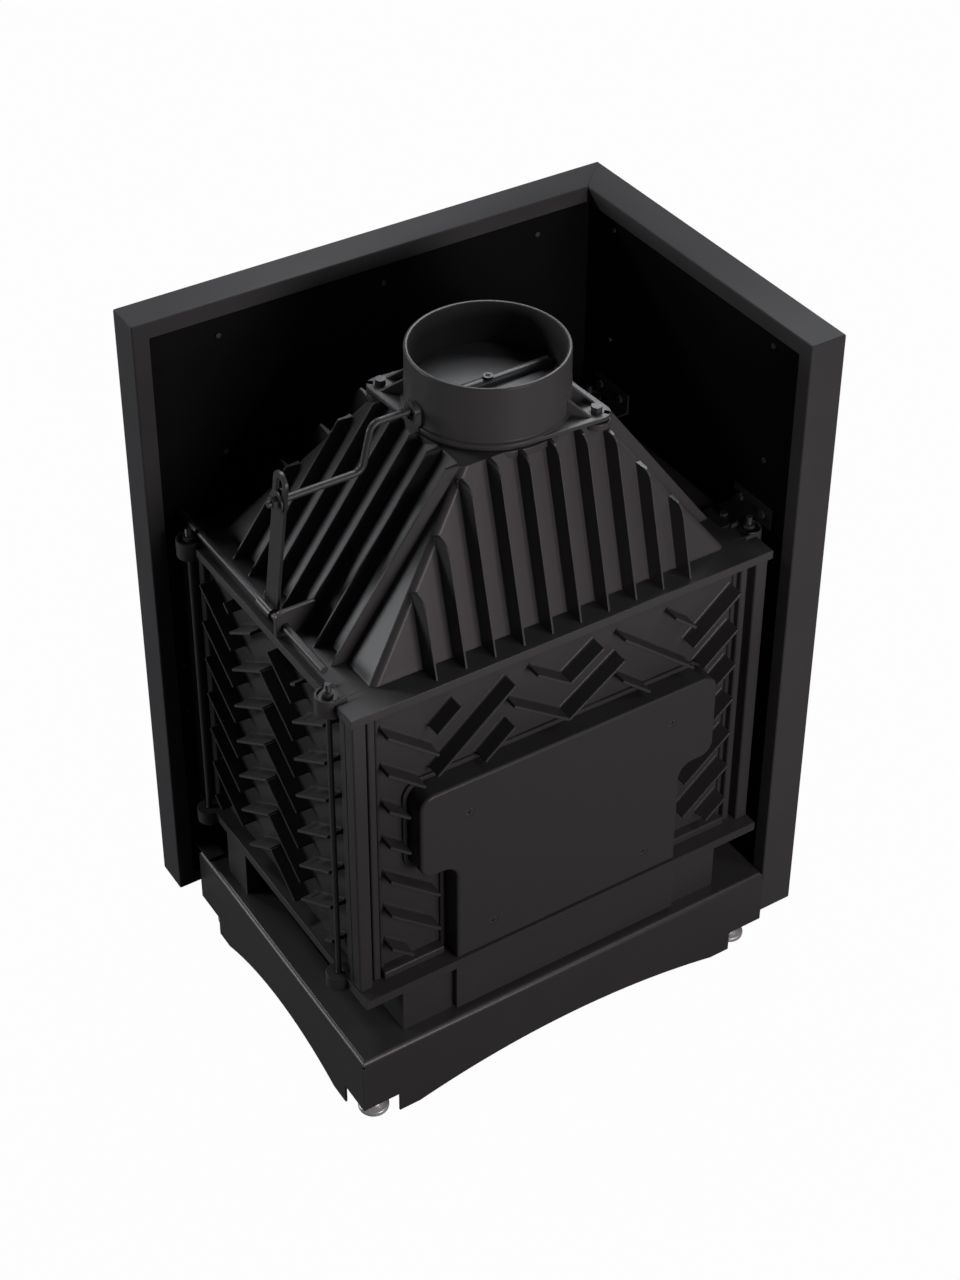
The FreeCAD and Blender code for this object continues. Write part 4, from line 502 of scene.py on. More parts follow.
def cast_iron(settings):
    """Matt stove paint on a sand casting: fine grain over shallow unevenness, with painted light that makes
    it paler towards the hood.
    """
    finish = Finish("cast_iron_black")
    grain = finish.noise(settings.grain, 4.0)
    lumps = finish.noise(LUMP, 2.0)
    # Painted light: the base colour grows paler with height, so the hood and the top frame look more brightly
    # lit
    height = finish.node("ShaderNodeSeparateXYZ", inputs={"Vector": finish.place}, out="Z")
    heights = {"Value": height, "From Min": PAINTED_LIGHT_Z[0] * MM, "From Max": PAINTED_LIGHT_Z[1] * MM}
    painted_light = finish.node("ShaderNodeMapRange", inputs=heights)
    return finish.surface({
        "Base Color": finish.shades(painted_light * 0.7 + grain * 0.3, settings.cast, 0.72, 1.36),
        "Roughness": 0.28 + grain * 0.08,
        "Specular IOR Level": 0.20,
        "Normal": finish.bump(grain * 0.5 + lumps, 0.3 * MM, 0.25),
    })


def stove_paint(settings, name, base, rough, gloss):
    """Sprayed stove paint on sheet steel, with a fine fleck."""
    finish = Finish(name)
    fleck = finish.noise(settings.fleck, 2.0)
    wave = finish.noise(WAVE, 1.0)
    return finish.surface({
        "Base Color": finish.shades(wave * 0.6 + fleck * 0.4, getattr(settings, base), 0.86, 1.14),
        "Roughness": rough - 0.05 + fleck * 0.10,
        "Specular IOR Level": gloss,
        "Normal": finish.bump(fleck + wave * 2.0, 0.12 * MM, 0.25),
    })


def plain_finish(settings, recipe):
    """A finish with one soft pattern in its colour, its roughness and its relief."""
    finish = Finish(recipe["name"])
    size, detail = recipe["marks"]
    marks = finish.noise(size * MM, detail)
    rough, spread = recipe["rough"]
    inputs = {"Base Color": finish.shades(marks, getattr(settings, recipe["colour"]), *recipe["shades"]),
              "Roughness": rough + marks * spread, **recipe["fixed"]}
    if recipe["relief"]:
        depth, strength = recipe["relief"]
        inputs["Normal"] = finish.bump(marks, depth * MM, strength)
    return finish.surface(inputs)


def glass_rope(settings):
    """Braided glass fibre rope: crossing strands."""
    finish = Finish("glass_rope")
    strands = []
    for turn in (STRAND_TURN, -STRAND_TURN):
        turned_place = finish.node("ShaderNodeMapping",
                                   inputs={"Vector": finish.place, "Rotation": (turn, turn, turn)})
        bands = {"Vector": turned_place, "Scale": STRAND_SCALE, "Distortion": 0.4}
        strands.append(finish.node("ShaderNodeTexWave", {"bands_direction": "DIAGONAL"}, bands, out="Fac"))
    braid = strands[0] * strands[1]
    fuzz = finish.noise(FUZZ, 3.0)
    return finish.surface({
        "Base Color": finish.shades(braid * 0.7 + fuzz * 0.3, settings.rope, 0.55, 1.35),
        "Roughness": 0.85,
        "Normal": finish.bump(braid + fuzz * 0.4, 0.8 * MM, 0.6),
    })


def refractory(settings):
    """Pressed vermiculite board: coarse flakes in a pale binder."""
    finish = Finish("refractory_board")
    flakes = finish.node("ShaderNodeTexVoronoi", inputs={"Vector": finish.place, "Scale": 1.0 / FLAKE})
    dust = finish.noise(DUST, 4.0)
    return finish.surface({
        "Base Color": finish.shades(flakes * 0.5 + dust * 0.5, settings.board, 0.72, 1.18),
        "Roughness": 0.88,
        "Normal": finish.bump(flakes + dust, 0.5 * MM, 0.5),
    })


def make_finishes(settings):
    """One material for each slot of the record."""
    made = {
        "cast_black": cast_iron(settings),
        "rope": glass_rope(settings),
        "refractory": refractory(settings),
    }
    made.update({slot: stove_paint(settings, *recipe) for slot, recipe in PAINTS.items()})
    made.update({slot: plain_finish(settings, recipe) for slot, recipe in PLAIN_FINISHES.items()})
    return made


FINISHES = {}


def activate(piece):
    """Make a piece the only selected object."""
    bpy.ops.object.select_all(action="DESELECT")
    piece.select_set(True)
    bpy.context.view_layer.objects.active = piece


def edit(piece):
    """Open a piece in edit mode."""
    activate(piece)
    bpy.ops.object.mode_set(mode="EDIT")


def leave():
    """Back to object mode."""
    bpy.ops.object.mode_set(mode="OBJECT")


def pick_all():
    """Select the whole mesh that is open in edit mode."""
    bpy.ops.mesh.select_all(action="SELECT")


def pick(piece, kind, test):
    """Select the faces or edges of a piece in edit mode that pass a test."""
    bpy.ops.mesh.select_mode(type=kind)
    bpy.ops.mesh.select_all(action="DESELECT")
    shape = bmesh.from_edit_mesh(piece.data)
    shape.normal_update()
    for element in {"FACE": shape.faces, "EDGE": shape.edges}[kind]:
        element.select = test(element)
    shape.select_flush_mode()
    bmesh.update_edit_mesh(piece.data)


def face_outwards():
    """Turn every face of the mesh that is open in edit mode outwards, and leave edit mode."""
    pick_all()
    bpy.ops.mesh.normals_make_consistent(inside=False)
    leave()


def modify(piece, kind, **settings):
    """Add a modifier, set it up and apply it."""
    activate(piece)
    modifier = piece.modifiers.new(kind.lower(), kind)
    for key, value in settings.items():
        setattr(modifier, key, value)
    bpy.ops.object.modifier_apply(modifier=modifier.name)
    return piece


def thickened(piece, sheet):
    """Give an open skin the thickness of its sheet, inwards."""
    return modify(piece, "SOLIDIFY", thickness=sheet * MM, offset=-1.0, use_even_offset=True)


def smooth(piece):
    """Shade a piece smoothly between its sharp edges, and keep its flat faces flat."""
    activate(piece)
    bpy.ops.object.shade_smooth_by_angle(angle=SHARP_ANGLE)
    return modify(piece, "WEIGHTED_NORMAL", keep_sharp=True)


def rounded(piece, width, segments=2):
    """Round every sharp edge of a piece."""
    modify(piece, "BEVEL", width=width, segments=segments, limit_method="ANGLE", angle_limit=SHARP_ANGLE,
           use_clamp_overlap=False, miter_outer="MITER_ARC")
    return smooth(piece)


def bevel_some(piece, test, width, segments):
    """Round the edges of a piece that pass a test."""
    edit(piece)
    pick(piece, "EDGE", test)
    bpy.ops.mesh.bevel(offset=width, segments=segments, affect="EDGES", clamp_overlap=True)
    leave()
    return piece


def fresh(name):
    """Name the object that was just added."""
    piece = bpy.context.object
    piece.name = name
    return piece


def apply_place():
    """Put the place, turn and scale of the selected object into its mesh."""
    bpy.ops.object.transform_apply(location=True, rotation=True, scale=True)


def block(name, low, high):
    """A box between two corners, as a start for shaping."""
    bpy.ops.object.select_all(action="DESELECT")
    bpy.ops.mesh.primitive_cube_add(size=1.0, location=(low + high) / 2.0)
    piece = fresh(name)
    piece.scale = high - low
    apply_place()
    return piece


def slab(name, x, y, z):
    """A box from its reach along each axis, in millimetres about the flue."""
    return block(name, *[at(*corner) for corner in zip(x, y, z)])


def settle(piece, matrix):
    """Move a piece by a matrix and put that into its mesh."""
    activate(piece)
    piece.matrix_world = matrix @ piece.matrix_world
    apply_place()
    return piece


def facing(axis):
    """The turn of a piece made along Z that points it along an axis."""
    return Vector(axis).to_track_quat("Z", "Y").to_matrix().to_4x4()


def drum(name, start, end, radius, sides=BAR_SIDES):
    """A round bar between two points, as a start for shaping."""
    run = end - start
    bpy.ops.object.select_all(action="DESELECT")
    bpy.ops.mesh.primitive_cylinder_add(vertices=sides, radius=radius * MM, depth=run.length)
    return settle(fresh(name), Matrix.Translation((start + end) / 2.0) @ facing(run))


def bar(name, axis, centre, run, radius, sides=BAR_SIDES):
    """A round bar along X, Y or Z: its centre across that axis and its reach along it, in millimetres."""
    start, end = [at(*centre[:axis], along, *centre[axis:]) for along in run]
    return drum(name, start, end, radius, sides)


def draw(name, points):
    """A line through points, drawn by pulling out one point after another, left open in edit mode."""
    bpy.ops.object.select_all(action="DESELECT")
    bpy.ops.mesh.primitive_plane_add(size=1.0)
    piece = fresh(name)
    edit(piece)
    pick_all()
    bpy.ops.mesh.merge(type="CENTER")
    pick_all()
    bpy.ops.transform.translate(value=points[0])
    for before, after in zip(points, points[1:]):
        bpy.ops.mesh.extrude_vertices_move(TRANSFORM_OT_translate={"value": after - before})
    pick_all()
    return piece


def turned(name, outline, foot, axis=UP, sides=TURNED_SIDES):
    """A round piece: an outline of radius and height pairs, spun about its axis."""
    piece = draw(name, [Vector((radius, 0.0, height)) * MM for radius, height in outline])
    bpy.ops.mesh.spin(steps=sides, angle=2.0 * math.pi, center=(0.0, 0.0, 0.0), axis=UP)
    pick_all()
    bpy.ops.mesh.remove_doubles(threshold=SAME_POINT)
    face_outwards()
    return settle(piece, Matrix.Translation(foot) @ facing(axis))


def prism(name, corners, along):
    """A flat outline drawn through its corners, filled and pulled out along a vector."""
    piece = draw(name, corners)
    bpy.ops.mesh.edge_face_add()
    bpy.ops.mesh.extrude_region_move(TRANSFORM_OT_translate={"value": along})
    face_outwards()
    return piece


def copied(mesh, name):
    """A new object with its own copy of a mesh."""
    copy = bpy.data.objects.new(name, mesh.copy())
    bpy.context.scene.collection.objects.link(copy)
    return copy


def twin(piece, name, matrix):
    """A copy of a piece with a mesh of its own, moved by a matrix."""
    return settle(copied(piece.data, name), matrix)


def about_flue(matrix):
    """A turn or mirroring about the flue's axis instead of the origin."""
    flue = Matrix.Translation(FLUE)
    return flue @ matrix @ flue.inverted()


def across_x(pieces, name):
    """Pieces together with their mirror images on the other side of the flue."""
    mirror = about_flue(Matrix.Scale(-1.0, 4, RIGHT))
    return pieces + [twin(piece, name, mirror) for piece in pieces]


def at_each_tie(piece, name):
    """A piece at a rear tie rod, with its copies at the other three."""
    return across_x([piece, twin(piece, name, Matrix.Translation(BACK * (TIE_Y[0] - TIE_Y[1]) * MM))], name)


def joined(name, pieces):
    """Several pieces as one object, with all faces outwards."""
    activate(pieces[0])
    for piece in pieces:
        piece.select_set(True)
    bpy.ops.object.join()
    whole = fresh(name)
    edit(whole)
    face_outwards()
    return whole


def combine(piece, operation, tools):
    """Merge other pieces into a piece or take them out of it, and drop them."""
    for tool in tools:
        modify(piece, "BOOLEAN", operation=operation, solver="EXACT", object=tool)
        bpy.data.objects.remove(tool)
    return piece


def carve(piece, *tools):
    """Take other pieces out of a piece."""
    return combine(piece, "DIFFERENCE", tools)


def added(piece, *tools):
    """Merge other pieces into a piece."""
    return combine(piece, "UNION", tools)


def trim(piece, point, normal):
    """Cut a piece at a plane, drop what lies on the normal's side and close the cut."""
    edit(piece)
    pick_all()
    bpy.ops.mesh.bisect(plane_co=point, plane_no=normal, use_fill=True, clear_outer=True)
    leave()
    return piece


def cad_copy(node, name):
    """A new piece with the mesh of a node, its doubles merged and its flat faces joined."""
    piece = copied(frame["nodes"][node].data, name)
    piece.data.materials.clear()
    edit(piece)
    bpy.ops.mesh.customdata_custom_splitnormals_clear()
    pick_all()
    bpy.ops.mesh.remove_doubles(threshold=SAME_POINT)
    bpy.ops.mesh.dissolve_limited(angle_limit=FLAT_ANGLE)
    leave()
    return piece


def paint(thing, node):
    """Give an object the finish of a node's slot."""
    thing.data.materials.clear()
    thing.data.materials.append(FINISHES[SLOT_OF[node]])


def stand_for(piece, *nodes):
    """Give a piece its body, its slot's finish and the nodes that it shows."""
    paint(piece, nodes[0])
    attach(piece, BODY_OF[nodes[0]])
    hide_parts(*nodes)


def soften(nodes, suffix, width, segments=2):
    """Rounded copies of several nodes."""
    for node in nodes:
        stand_for(rounded(cad_copy(node, node + "_" + suffix), width, segments), node)


def lift(rise, across):
    """Pull the selected face up and scale it along Y."""
    bpy.ops.mesh.extrude_region_move(TRANSFORM_OT_translate={"value": (0.0, 0.0, rise)})
    bpy.ops.transform.resize(value=(1.0, across, 1.0))


def cast_fin(name, run, height, thick, flare, rounding, taper=FIN_TAPER, end_round=0.0):
    """A cast fin along +X from the origin, standing on z = 0: flared foot, tapered web, rounded edges."""
    bpy.ops.object.select_all(action="DESELECT")
    bpy.ops.mesh.primitive_plane_add(size=1.0, location=(run / 2.0, 0.0, -SINK * MM))
    piece = fresh(name)
    wide = thick + 2.0 * flare
    piece.scale = (run, wide, 1.0)
    apply_place()
    edit(piece)
    pick_all()
    lift(SINK * MM, 1.0)
    for step in range(FLARE_STEPS):
        now, then = [math.pi / 2.0 * (step + i) / FLARE_STEPS for i in (0, 1)]
        narrower = thick + 2.0 * flare * (1.0 - math.sin(then))
        lift(flare * (math.cos(now) - math.cos(then)), narrower / wide)
        wide = narrower
    lift(height - flare, taper)
    if end_round:
        high_end = Vector((run, height))
        pick(piece, "EDGE", lambda edge: all((v.co.xz - high_end).length < SINK * MM for v in edge.verts))
        bpy.ops.mesh.bevel(offset=end_round, segments=CORNER_STEPS, affect="EDGES")
    pick(piece, "EDGE", lambda edge: min(v.co.z for v in edge.verts) > flare * ABOVE_FLARE
         and edge.calc_face_angle(0.0) > FIN_ANGLE)
    bpy.ops.mesh.bevel(offset=rounding, segments=EDGE_STEPS, affect="EDGES", clamp_overlap=True)
    leave()
    return piece


def stand_fin(piece, start, along, out):
    """Set a fin that was made along X on a wall: its run follows a vector, its height another."""
    along, out = along.normalized(), out.normalized()
    turn = Matrix((along, out.cross(along), out)).transposed().to_4x4()
    return settle(piece, Matrix.Translation(start) @ turn)


def wall_fins(name, lines, place, out, height, edges):
    """Straight fins on a wall, each between two points of the wall's own plane."""
    fins = []
    for number, (start, end) in enumerate(lines):
        first, last = place(*start), place(*end)
        run = last - first
        fin = cast_fin("%s_%d" % (name, number), run.length, height * MM, FIN_T * MM, edges.flare, edges.fin)
        fins.append(stand_fin(fin, first, run, out))
    return fins


def shortened(lines, clear):
    """Lines with each end drawn back until it is clear, without those that are covered all along."""
    kept = []
    for start, end in lines:
        points = [Vector(start).lerp(Vector(end), i / LINE_PARTS) for i in range(LINE_PARTS + 1)]
        free = [point for point in points if clear(*point)]
        if free:
            kept.append((free[0], free[-1]))
    return kept


def column(name, x, y, z, edges):
    """A straight cast bar with well rounded edges."""
    return rounded(slab(name, x, y, z), edges.cast * COLUMN_ROUND, EDGE_STEPS)


def pyramid(name, foot_x, foot_y, z):
    """A pyramid from a level rectangle up to the hood's head about the flue, with rounded hips."""
    piece = slab(name, both(foot_x), foot_y, z)
    middle = sum(z) / 2.0 * MM
    edit(piece)
    pick(piece, "FACE", lambda face: face.normal.z > FACING)
    bpy.ops.transform.resize(value=(HOOD_HEAD / foot_x, 2.0 * HOOD_HEAD / (foot_y[1] - foot_y[0]), 1.0))
    bpy.ops.transform.translate(value=(0.0, -sum(foot_y) / 2.0 * MM, 0.0))
    pick(piece, "EDGE", lambda edge: (edge.verts[0].co.z - middle) * (edge.verts[1].co.z - middle) < 0.0)
    bpy.ops.mesh.bevel(offset=HIP_ROUND * MM, segments=HIP_STEPS, affect="EDGES")
    leave()
    return piece


def flue_round(name, low, high, radius=BORE_R):
    """A round about the flue's axis."""
    return bar(name, Z, (0.0, 0.0), (low, high), radius, ROUND_SIDES)


def hood_shell(edges):
    """The hollow pyramid and the collar's seat on it."""
    low, high = HOOD_TOP - SEAT_H, HOOD_TOP
    shell = pyramid("hood_cast", HOOD_FOOT_X, HOOD_FOOT_Y, (FRAME_Z[1], high))
    inner_y = past(HOOD_FOOT_Y, -HOOD_WALL)
    inside = pyramid("hood_inside", HOOD_FOOT_X - HOOD_WALL, inner_y, (FRAME_Z[1] - OVER, low))
    carve(shell, inside, flue_round("flue_bore", low - SEAT_H, high + OVER))
    seat = flue_round("hood_seat", low, high, SEAT_R)
    for x in (-EAR, EAR):
        added(seat, bar("seat_ear", Z, (x, -x), (low, high), EAR_R))
    carve(seat, flue_round("flue_bore", low - SEAT_H, high + OVER))
    return joined("hood_cast", [rounded(shell, edges.cast), rounded(seat, edges.cast)])


def tie_ear(edges):
    """A tie rod's ear: a boss on a short arm, with a low wall round the nut that opens to the hood."""
    low, top = FRAME_Z
    high = top + LUG_RIM_H
    centre = (TIE_X, TIE_Y[1])
    inner = LUG_R - LUG_RIM
    outer_y, inner_y = [past((TIE_Y[1], TIE_Y[1]), radius) for radius in (LUG_R, inner)]
    boss = bar("ear_boss", Z, centre, (top - LUG_DEPTH, high), LUG_R)
    added(boss, slab("ear_arm", (LUG_ARM_X, TIE_X), outer_y, (low, high)))
    above = (top, high + OVER)
    cup = bar("ear_cup", Z, centre, above, inner)
    way = slab("ear_way", (LUG_ARM_X - OVER, TIE_X), inner_y, above)
    ends = slab("ear_ends", (LUG_ARM_X - OVER, LUG_RIM_X), past(outer_y), above)
    bore = bar("ear_bore", Z, centre, past((top - LUG_DEPTH, top)), TIE_R)
    return rounded(carve(boss, cup, way, ends, bore), edges.fin)


def rod_guide(edges):
    """The ear that guides the pull rod, rounded at its outer corner and run into the hood's slope."""
    ear = slab("rod_guide", (HOOD_HEAD, GUIDE_END), GUIDE_Y, (FRAME_Z[1] - SINK, GUIDE_TOP))
    corner = at(GUIDE_END, 0.0, GUIDE_TOP)
    near = OVER * MM
    bevel_some(ear, lambda edge: all(abs(v.co.x - corner.x) < near and abs(v.co.z - corner.z) < near
                                     for v in edge.verts), GUIDE_ROUND * MM, HIP_STEPS)
    slope = Vector((HOOD_TOP - FRAME_Z[1], 0.0, HOOD_FOOT_X - HOOD_HEAD))
    trim(ear, at(HOOD_FOOT_X - SINK, 0.0, FRAME_Z[1]), -slope)
    return rounded(carve(ear, bar("guide_bore", Y, PULL_ROD, past(GUIDE_Y), PULL_ROD_R)), edges.fin)


def top_frame(edges):
    """The level frame over the walls, with its ears and the guide."""
    plate = slab("top_frame_cast", both(FRAME_X), FRAME_Y, FRAME_Z)
    carve(plate, slab("mouth", both(HOOD_FOOT_X - HOOD_WALL), past(HOOD_FOOT_Y, -HOOD_WALL), past(FRAME_Z)))
    ears = at_each_tie(tie_ear(edges), "tie_ear")
    return joined("top_frame_cast", [rounded(plate, edges.cast), rod_guide(edges)] + ears)


def slope_rib(foot, head, out, height, edges):
    """A rib up a slope of the hood from its foot on the top frame, rounded in at its upper end."""
    rise = (head - foot).normalized()
    start = foot - rise * RIB_RUN_IN * MM
    depth = height * MM * Vector(out).normalized().dot(Vector((out[0], out[1], 0.0)).normalized())
    rib = cast_fin("hood_rib", (head - start).length, depth, RIB_T * MM, edges.rib, edges.turned * 2.0,
                   taper=RIB_TAPER, end_round=depth - edges.rib * 2.0)
    stand_fin(rib, start, rise, Vector(out))
    trim(rib, at(0.0, 0.0, FRAME_Z[1] - SINK), -UP)
    return trim(rib, head, UP)


def hood_ribs(edges):
    """Ribs up the four slopes, modelled on one side of the flue and mirrored."""
    low = FRAME_Z[1]
    rise = HOOD_TOP - low
    run_x = HOOD_FOOT_X - HOOD_HEAD
    half = []
    for foot_y in HOOD_FOOT_Y:
        run_y = math.copysign(HOOD_HEAD, foot_y) - foot_y
        out = (0.0, math.copysign(rise, foot_y), abs(run_y))
        for x in REAR_RIB_X:
            share = min(1.0, (HOOD_FOOT_X - x) / run_x - RIB_BELOW_EDGE / rise)
            head = at(x, foot_y + run_y * share, low + rise * share)
            half.append(slope_rib(at(x, foot_y, low), head, out, REAR_RIB_H, edges))
    for y in SIDE_RIB_Y:
        edge = HOOD_FOOT_Y[1] if y > 0.0 else HOOD_FOOT_Y[0]
        reach = (y - edge) / (math.copysign(HOOD_HEAD, edge) - edge)
        share = min(1.0, reach - RIB_BELOW_EDGE / rise)
        head = at(HOOD_FOOT_X - run_x * share, y, low + rise * share)
        half.append(slope_rib(at(HOOD_FOOT_X, y, low), head, (rise, 0.0, run_x), SIDE_RIB_H, edges))
    return joined("hood_ribs_cast", across_x(half, "hood_rib"))


def rear_fin_lines():
    """Both ends of each fin on one half of the rear wall, as x and height, clear of the cover."""
    inner, outer = OUTER_FIN_X
    lines = [((outer, top), (inner, top - (outer - inner) * FIN_SLOPE)) for top in OUTER_FIN_TOPS]
    inner, outer = MIDDLE_FIN_X
    lines += [((outer, low), (inner, low + (outer - inner) * FIN_SLOPE)) for low in MIDDLE_FIN_LOWS]
    inner, outer = INNER_FIN_X
    lines += [((inner, low), (outer, low + (outer - inner) * INNER_FIN_SLOPE)) for low in INNER_FIN_LOWS]

    def clear(x, z):
        under_head = x < COVER_HEAD + COVER_GAP and COVER_STEP - COVER_GAP < z < COVER_Z[1] + COVER_GAP
        under_stem = x < COVER_STEM + COVER_GAP and z < COVER_STEP
        return REAR_FIELD_Z[0] < z < REAR_FIELD_Z[1] and not under_head and not under_stem

    return shortened(lines, clear)


def side_fin_lines():
    """Both ends of each fin on the side wall, as y and height."""
    lines = []
    for sign in (-1.0, 1.0):
        inner = SIDE_FIN_MID + sign * SIDE_FIN_COLUMN
        outer = inner + sign * SIDE_FIN_COLUMN
        for peak in SIDE_FIN_PEAKS:
            low = peak - SIDE_FIN_DROP
            lines.append(((SIDE_FIN_MID, peak), (inner, peak - SIDE_FIN_RISE)))
            lines.append(((inner, low), (outer, low + SIDE_FIN_RISE)))
    return shortened(lines, lambda y, z: SIDE_FIELD_Z[0] < z < SIDE_FIELD_Z[1])


def rear_wall(edges):
    """The rear wall: a plate with columns, sills and a herringbone of fins round the cover."""
    depth = (REAR_FACE - WALL_T, REAR_FACE)
    root = REAR_FACE - WALL_T / 2.0
    plate = slab("rear_wall_plate", both(WALL_X), depth, WALL_Z)
    for hole in AIR_HOLES:
        carve(plate, bar("air_hole", Y, hole, past(depth), AIR_HOLE_R))
    half = [column("rear_column", x, (root, REAR_FACE + out), WALL_Z, edges) for x, out in REAR_COLUMNS]
    sill_z = (HEARTH_TOP, HEARTH_TOP + SILL_H)
    half.append(column("rear_sill", SILL_X, (root, REAR_FACE + SILL_OUT), sill_z, edges))
    half += wall_fins("rear_fin", rear_fin_lines(), lambda x, z: at(x, REAR_FACE, z), BACK, REAR_FIN_H, edges)
    return joined("rear_wall_cast", [plate, cover_seat(edges)] + across_x(half, "rear_mirror"))


def side_wall(edges):
    """The finned side wall: a plate with columns and a herringbone of fins."""
    root = SIDE_FACE - WALL_T / 2.0
    pieces = [slab("side_wall_plate", (SIDE_FACE - WALL_T, SIDE_FACE), SIDE_WALL_Y, WALL_Z)]
    pieces += [column("side_column", (root, SIDE_FACE + out), y, WALL_Z, edges) for y, out in SIDE_COLUMNS]
    lines = side_fin_lines()
    pieces += wall_fins("side_fin", lines, lambda y, z: at(SIDE_FACE, y, z), RIGHT, SIDE_FIN_H, edges)
    return joined("side_wall_cast", pieces)


def stepped_slab(name, grow, y):
    """A slab with the cover's stepped outline, grown all round but at its foot, with round corners."""
    low, high = COVER_Z
    step = COVER_STEP - grow
    right = [(COVER_STEM + grow, low), (COVER_STEM + grow, step), (COVER_HEAD + grow, step),
             (COVER_HEAD + grow, high + grow)]
    outline = right + [(-x, z) for x, z in reversed(right)]
    piece = prism(name, [at(x, y[0], z) for x, z in outline], BACK * (y[1] - y[0]) * MM)
    floor = (low + OVER) * MM
    return bevel_some(piece, lambda edge: abs(edge.verts[0].co.y - edge.verts[1].co.y) > OVER * MM
                      and edge.verts[0].co.z > floor, (COVER_CORNER + grow) * MM, CORNER_STEPS)


def cover_seat(edges):
    """The low rim on the rear wall that frames the cover."""
    y = (REAR_FACE - WALL_T / 2.0, REAR_FACE + SEAT_RIM_OUT)
    rim = stepped_slab("cover_seat", SEAT_RIM_W, y)
    return rounded(carve(rim, stepped_slab("seat_hole", SEAT_RIM_GAP, past(y))), edges.cast)


def rear_cover(edges):
    """The lid on the rear wall: a stepped outline with round corners and a soft edge round its face."""
    lid = stepped_slab("rear_cover_cast", 0.0, COVER_Y)
    face = at(0.0, COVER_Y[1] - OVER, 0.0).y
    bevel_some(lid, lambda edge: all(v.co.y > face for v in edge.verts), edges.cover, FACE_STEPS)
    depth = (COVER_Y[1] - COVER_SCREW_DEPTH, COVER_Y[1] + OVER)
    for x, z in COVER_SCREWS:
        for place in (x, -x):
            carve(lid, bar("screw_seat", Y, (place, z), depth, COVER_SCREW_R, BORE_SIDES))
    return smooth(lid)


def collar_ear(edges):
    """A slotted ear of the collar, drawn tangent to the collar's foot, with its two gussets, along +X."""
    reach = math.hypot(EAR, EAR)
    low, top = EAR_Z
    lean = math.acos((FOOT_R - EAR_R) / reach)
    turns = [lean * (1.0 - i / (EAR_STEPS / 2.0)) for i in range(EAR_STEPS + 1)]
    outline = [(FOOT_R * math.cos(lean), FOOT_R * math.sin(lean))]
    outline += [(reach + EAR_R * math.cos(turn), EAR_R * math.sin(turn)) for turn in turns]
    outline.append((FOOT_R * math.cos(lean), -FOOT_R * math.sin(lean)))
    ear = prism("collar_ear", [at(x, y, low) for x, y in outline], UP * (top - low) * MM)
    carve(ear, flue_round("flue_bore", low - OVER, top + OVER))
    slot_x = (reach, reach + EAR_R + OVER)
    slot = slab("ear_slot", slot_x, both(EAR_SLOT_W / 2.0), (top - EAR_SLOT_DEPTH, top + OVER))
    pieces = [rounded(carve(ear, slot), edges.fin)]
    foot, tip = GUSSET_R
    outline = [(foot, top - SINK), (tip, top - SINK), (foot, top + GUSSET_H)]
    for side in (1.0, -1.0):
        corners = [at(x, side * (EAR_R - GUSSET_T), z) for x, z in outline]
        pieces.append(rounded(prism("ear_gusset", corners, BACK * side * GUSSET_T * MM), edges.fin))
    return joined("collar_ear", pieces)


def flue_collar(edges):
    """The flue spigot: a spun ring with a rounded foot, shaft bosses and bolted ears."""
    ring = turned("flue_collar_cast", COLLAR_OUTLINE, FLUE, sides=ROUND_SIDES)
    shaft = (0.0, DAMPER_Z)
    boss = bar("shaft_boss", X, shaft, BOSS_X, BOSS_R)
    added(boss, slab("boss_foot", BOSS_X, both(BOSS_R), (EAR_Z[0], DAMPER_Z)))
    carve(boss, bar("boss_bore", X, shaft, past(BOSS_X), SHAFT_HOLE_R, BORE_SIDES))
    bosses = across_x([rounded(boss, edges.fin)], "shaft_boss")
    ear = collar_ear(edges)
    turns = [about_flue(Matrix.Rotation(math.radians(turn), 4, "Z")) for turn in EAR_TURNS]
    ears = [twin(ear, "collar_ear", turn) for turn in turns]
    bpy.data.objects.remove(ear)
    return joined("flue_collar_cast", [ring] + bosses + ears)


def pin_fasteners(edges):
    """Two broad washers on the crank pin, one on each side of the slotted lever, and the pin's nut."""
    low, high = [corner.x / MM - FLUE.x / MM for corner in map(Vector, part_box("pin_fasteners"))]
    pin = (0.0, DAMPER_Z - CRANK_R)
    inner = high - PIN_NUT_H
    pieces = [rounded(bar("pin_nut", X, pin, (inner, high), PIN_NUT_R, HEXAGON), edges.turned)]
    for start in (low, inner - WASHER_T):
        reach = (start, start + WASHER_T)
        washer = bar("pin_washer", X, pin, reach, WASHER_R)
        carve(washer, bar("washer_bore", X, pin, past(reach), SHAFT_HOLE_R))
        pieces.append(rounded(washer, edges.turned))
    return joined("pin_fasteners_steel", pieces)


def arch(name, axis, middle, run, half_chord):
    """The round tool that cuts the arches of two opposite skirts."""
    rise = ARCH_TOP - STAND_Z[0]
    radius = (half_chord ** 2 + rise ** 2) / (2.0 * rise)
    return bar(name, axis, (middle, ARCH_TOP - radius), past(run), radius, ARCH_SIDES)


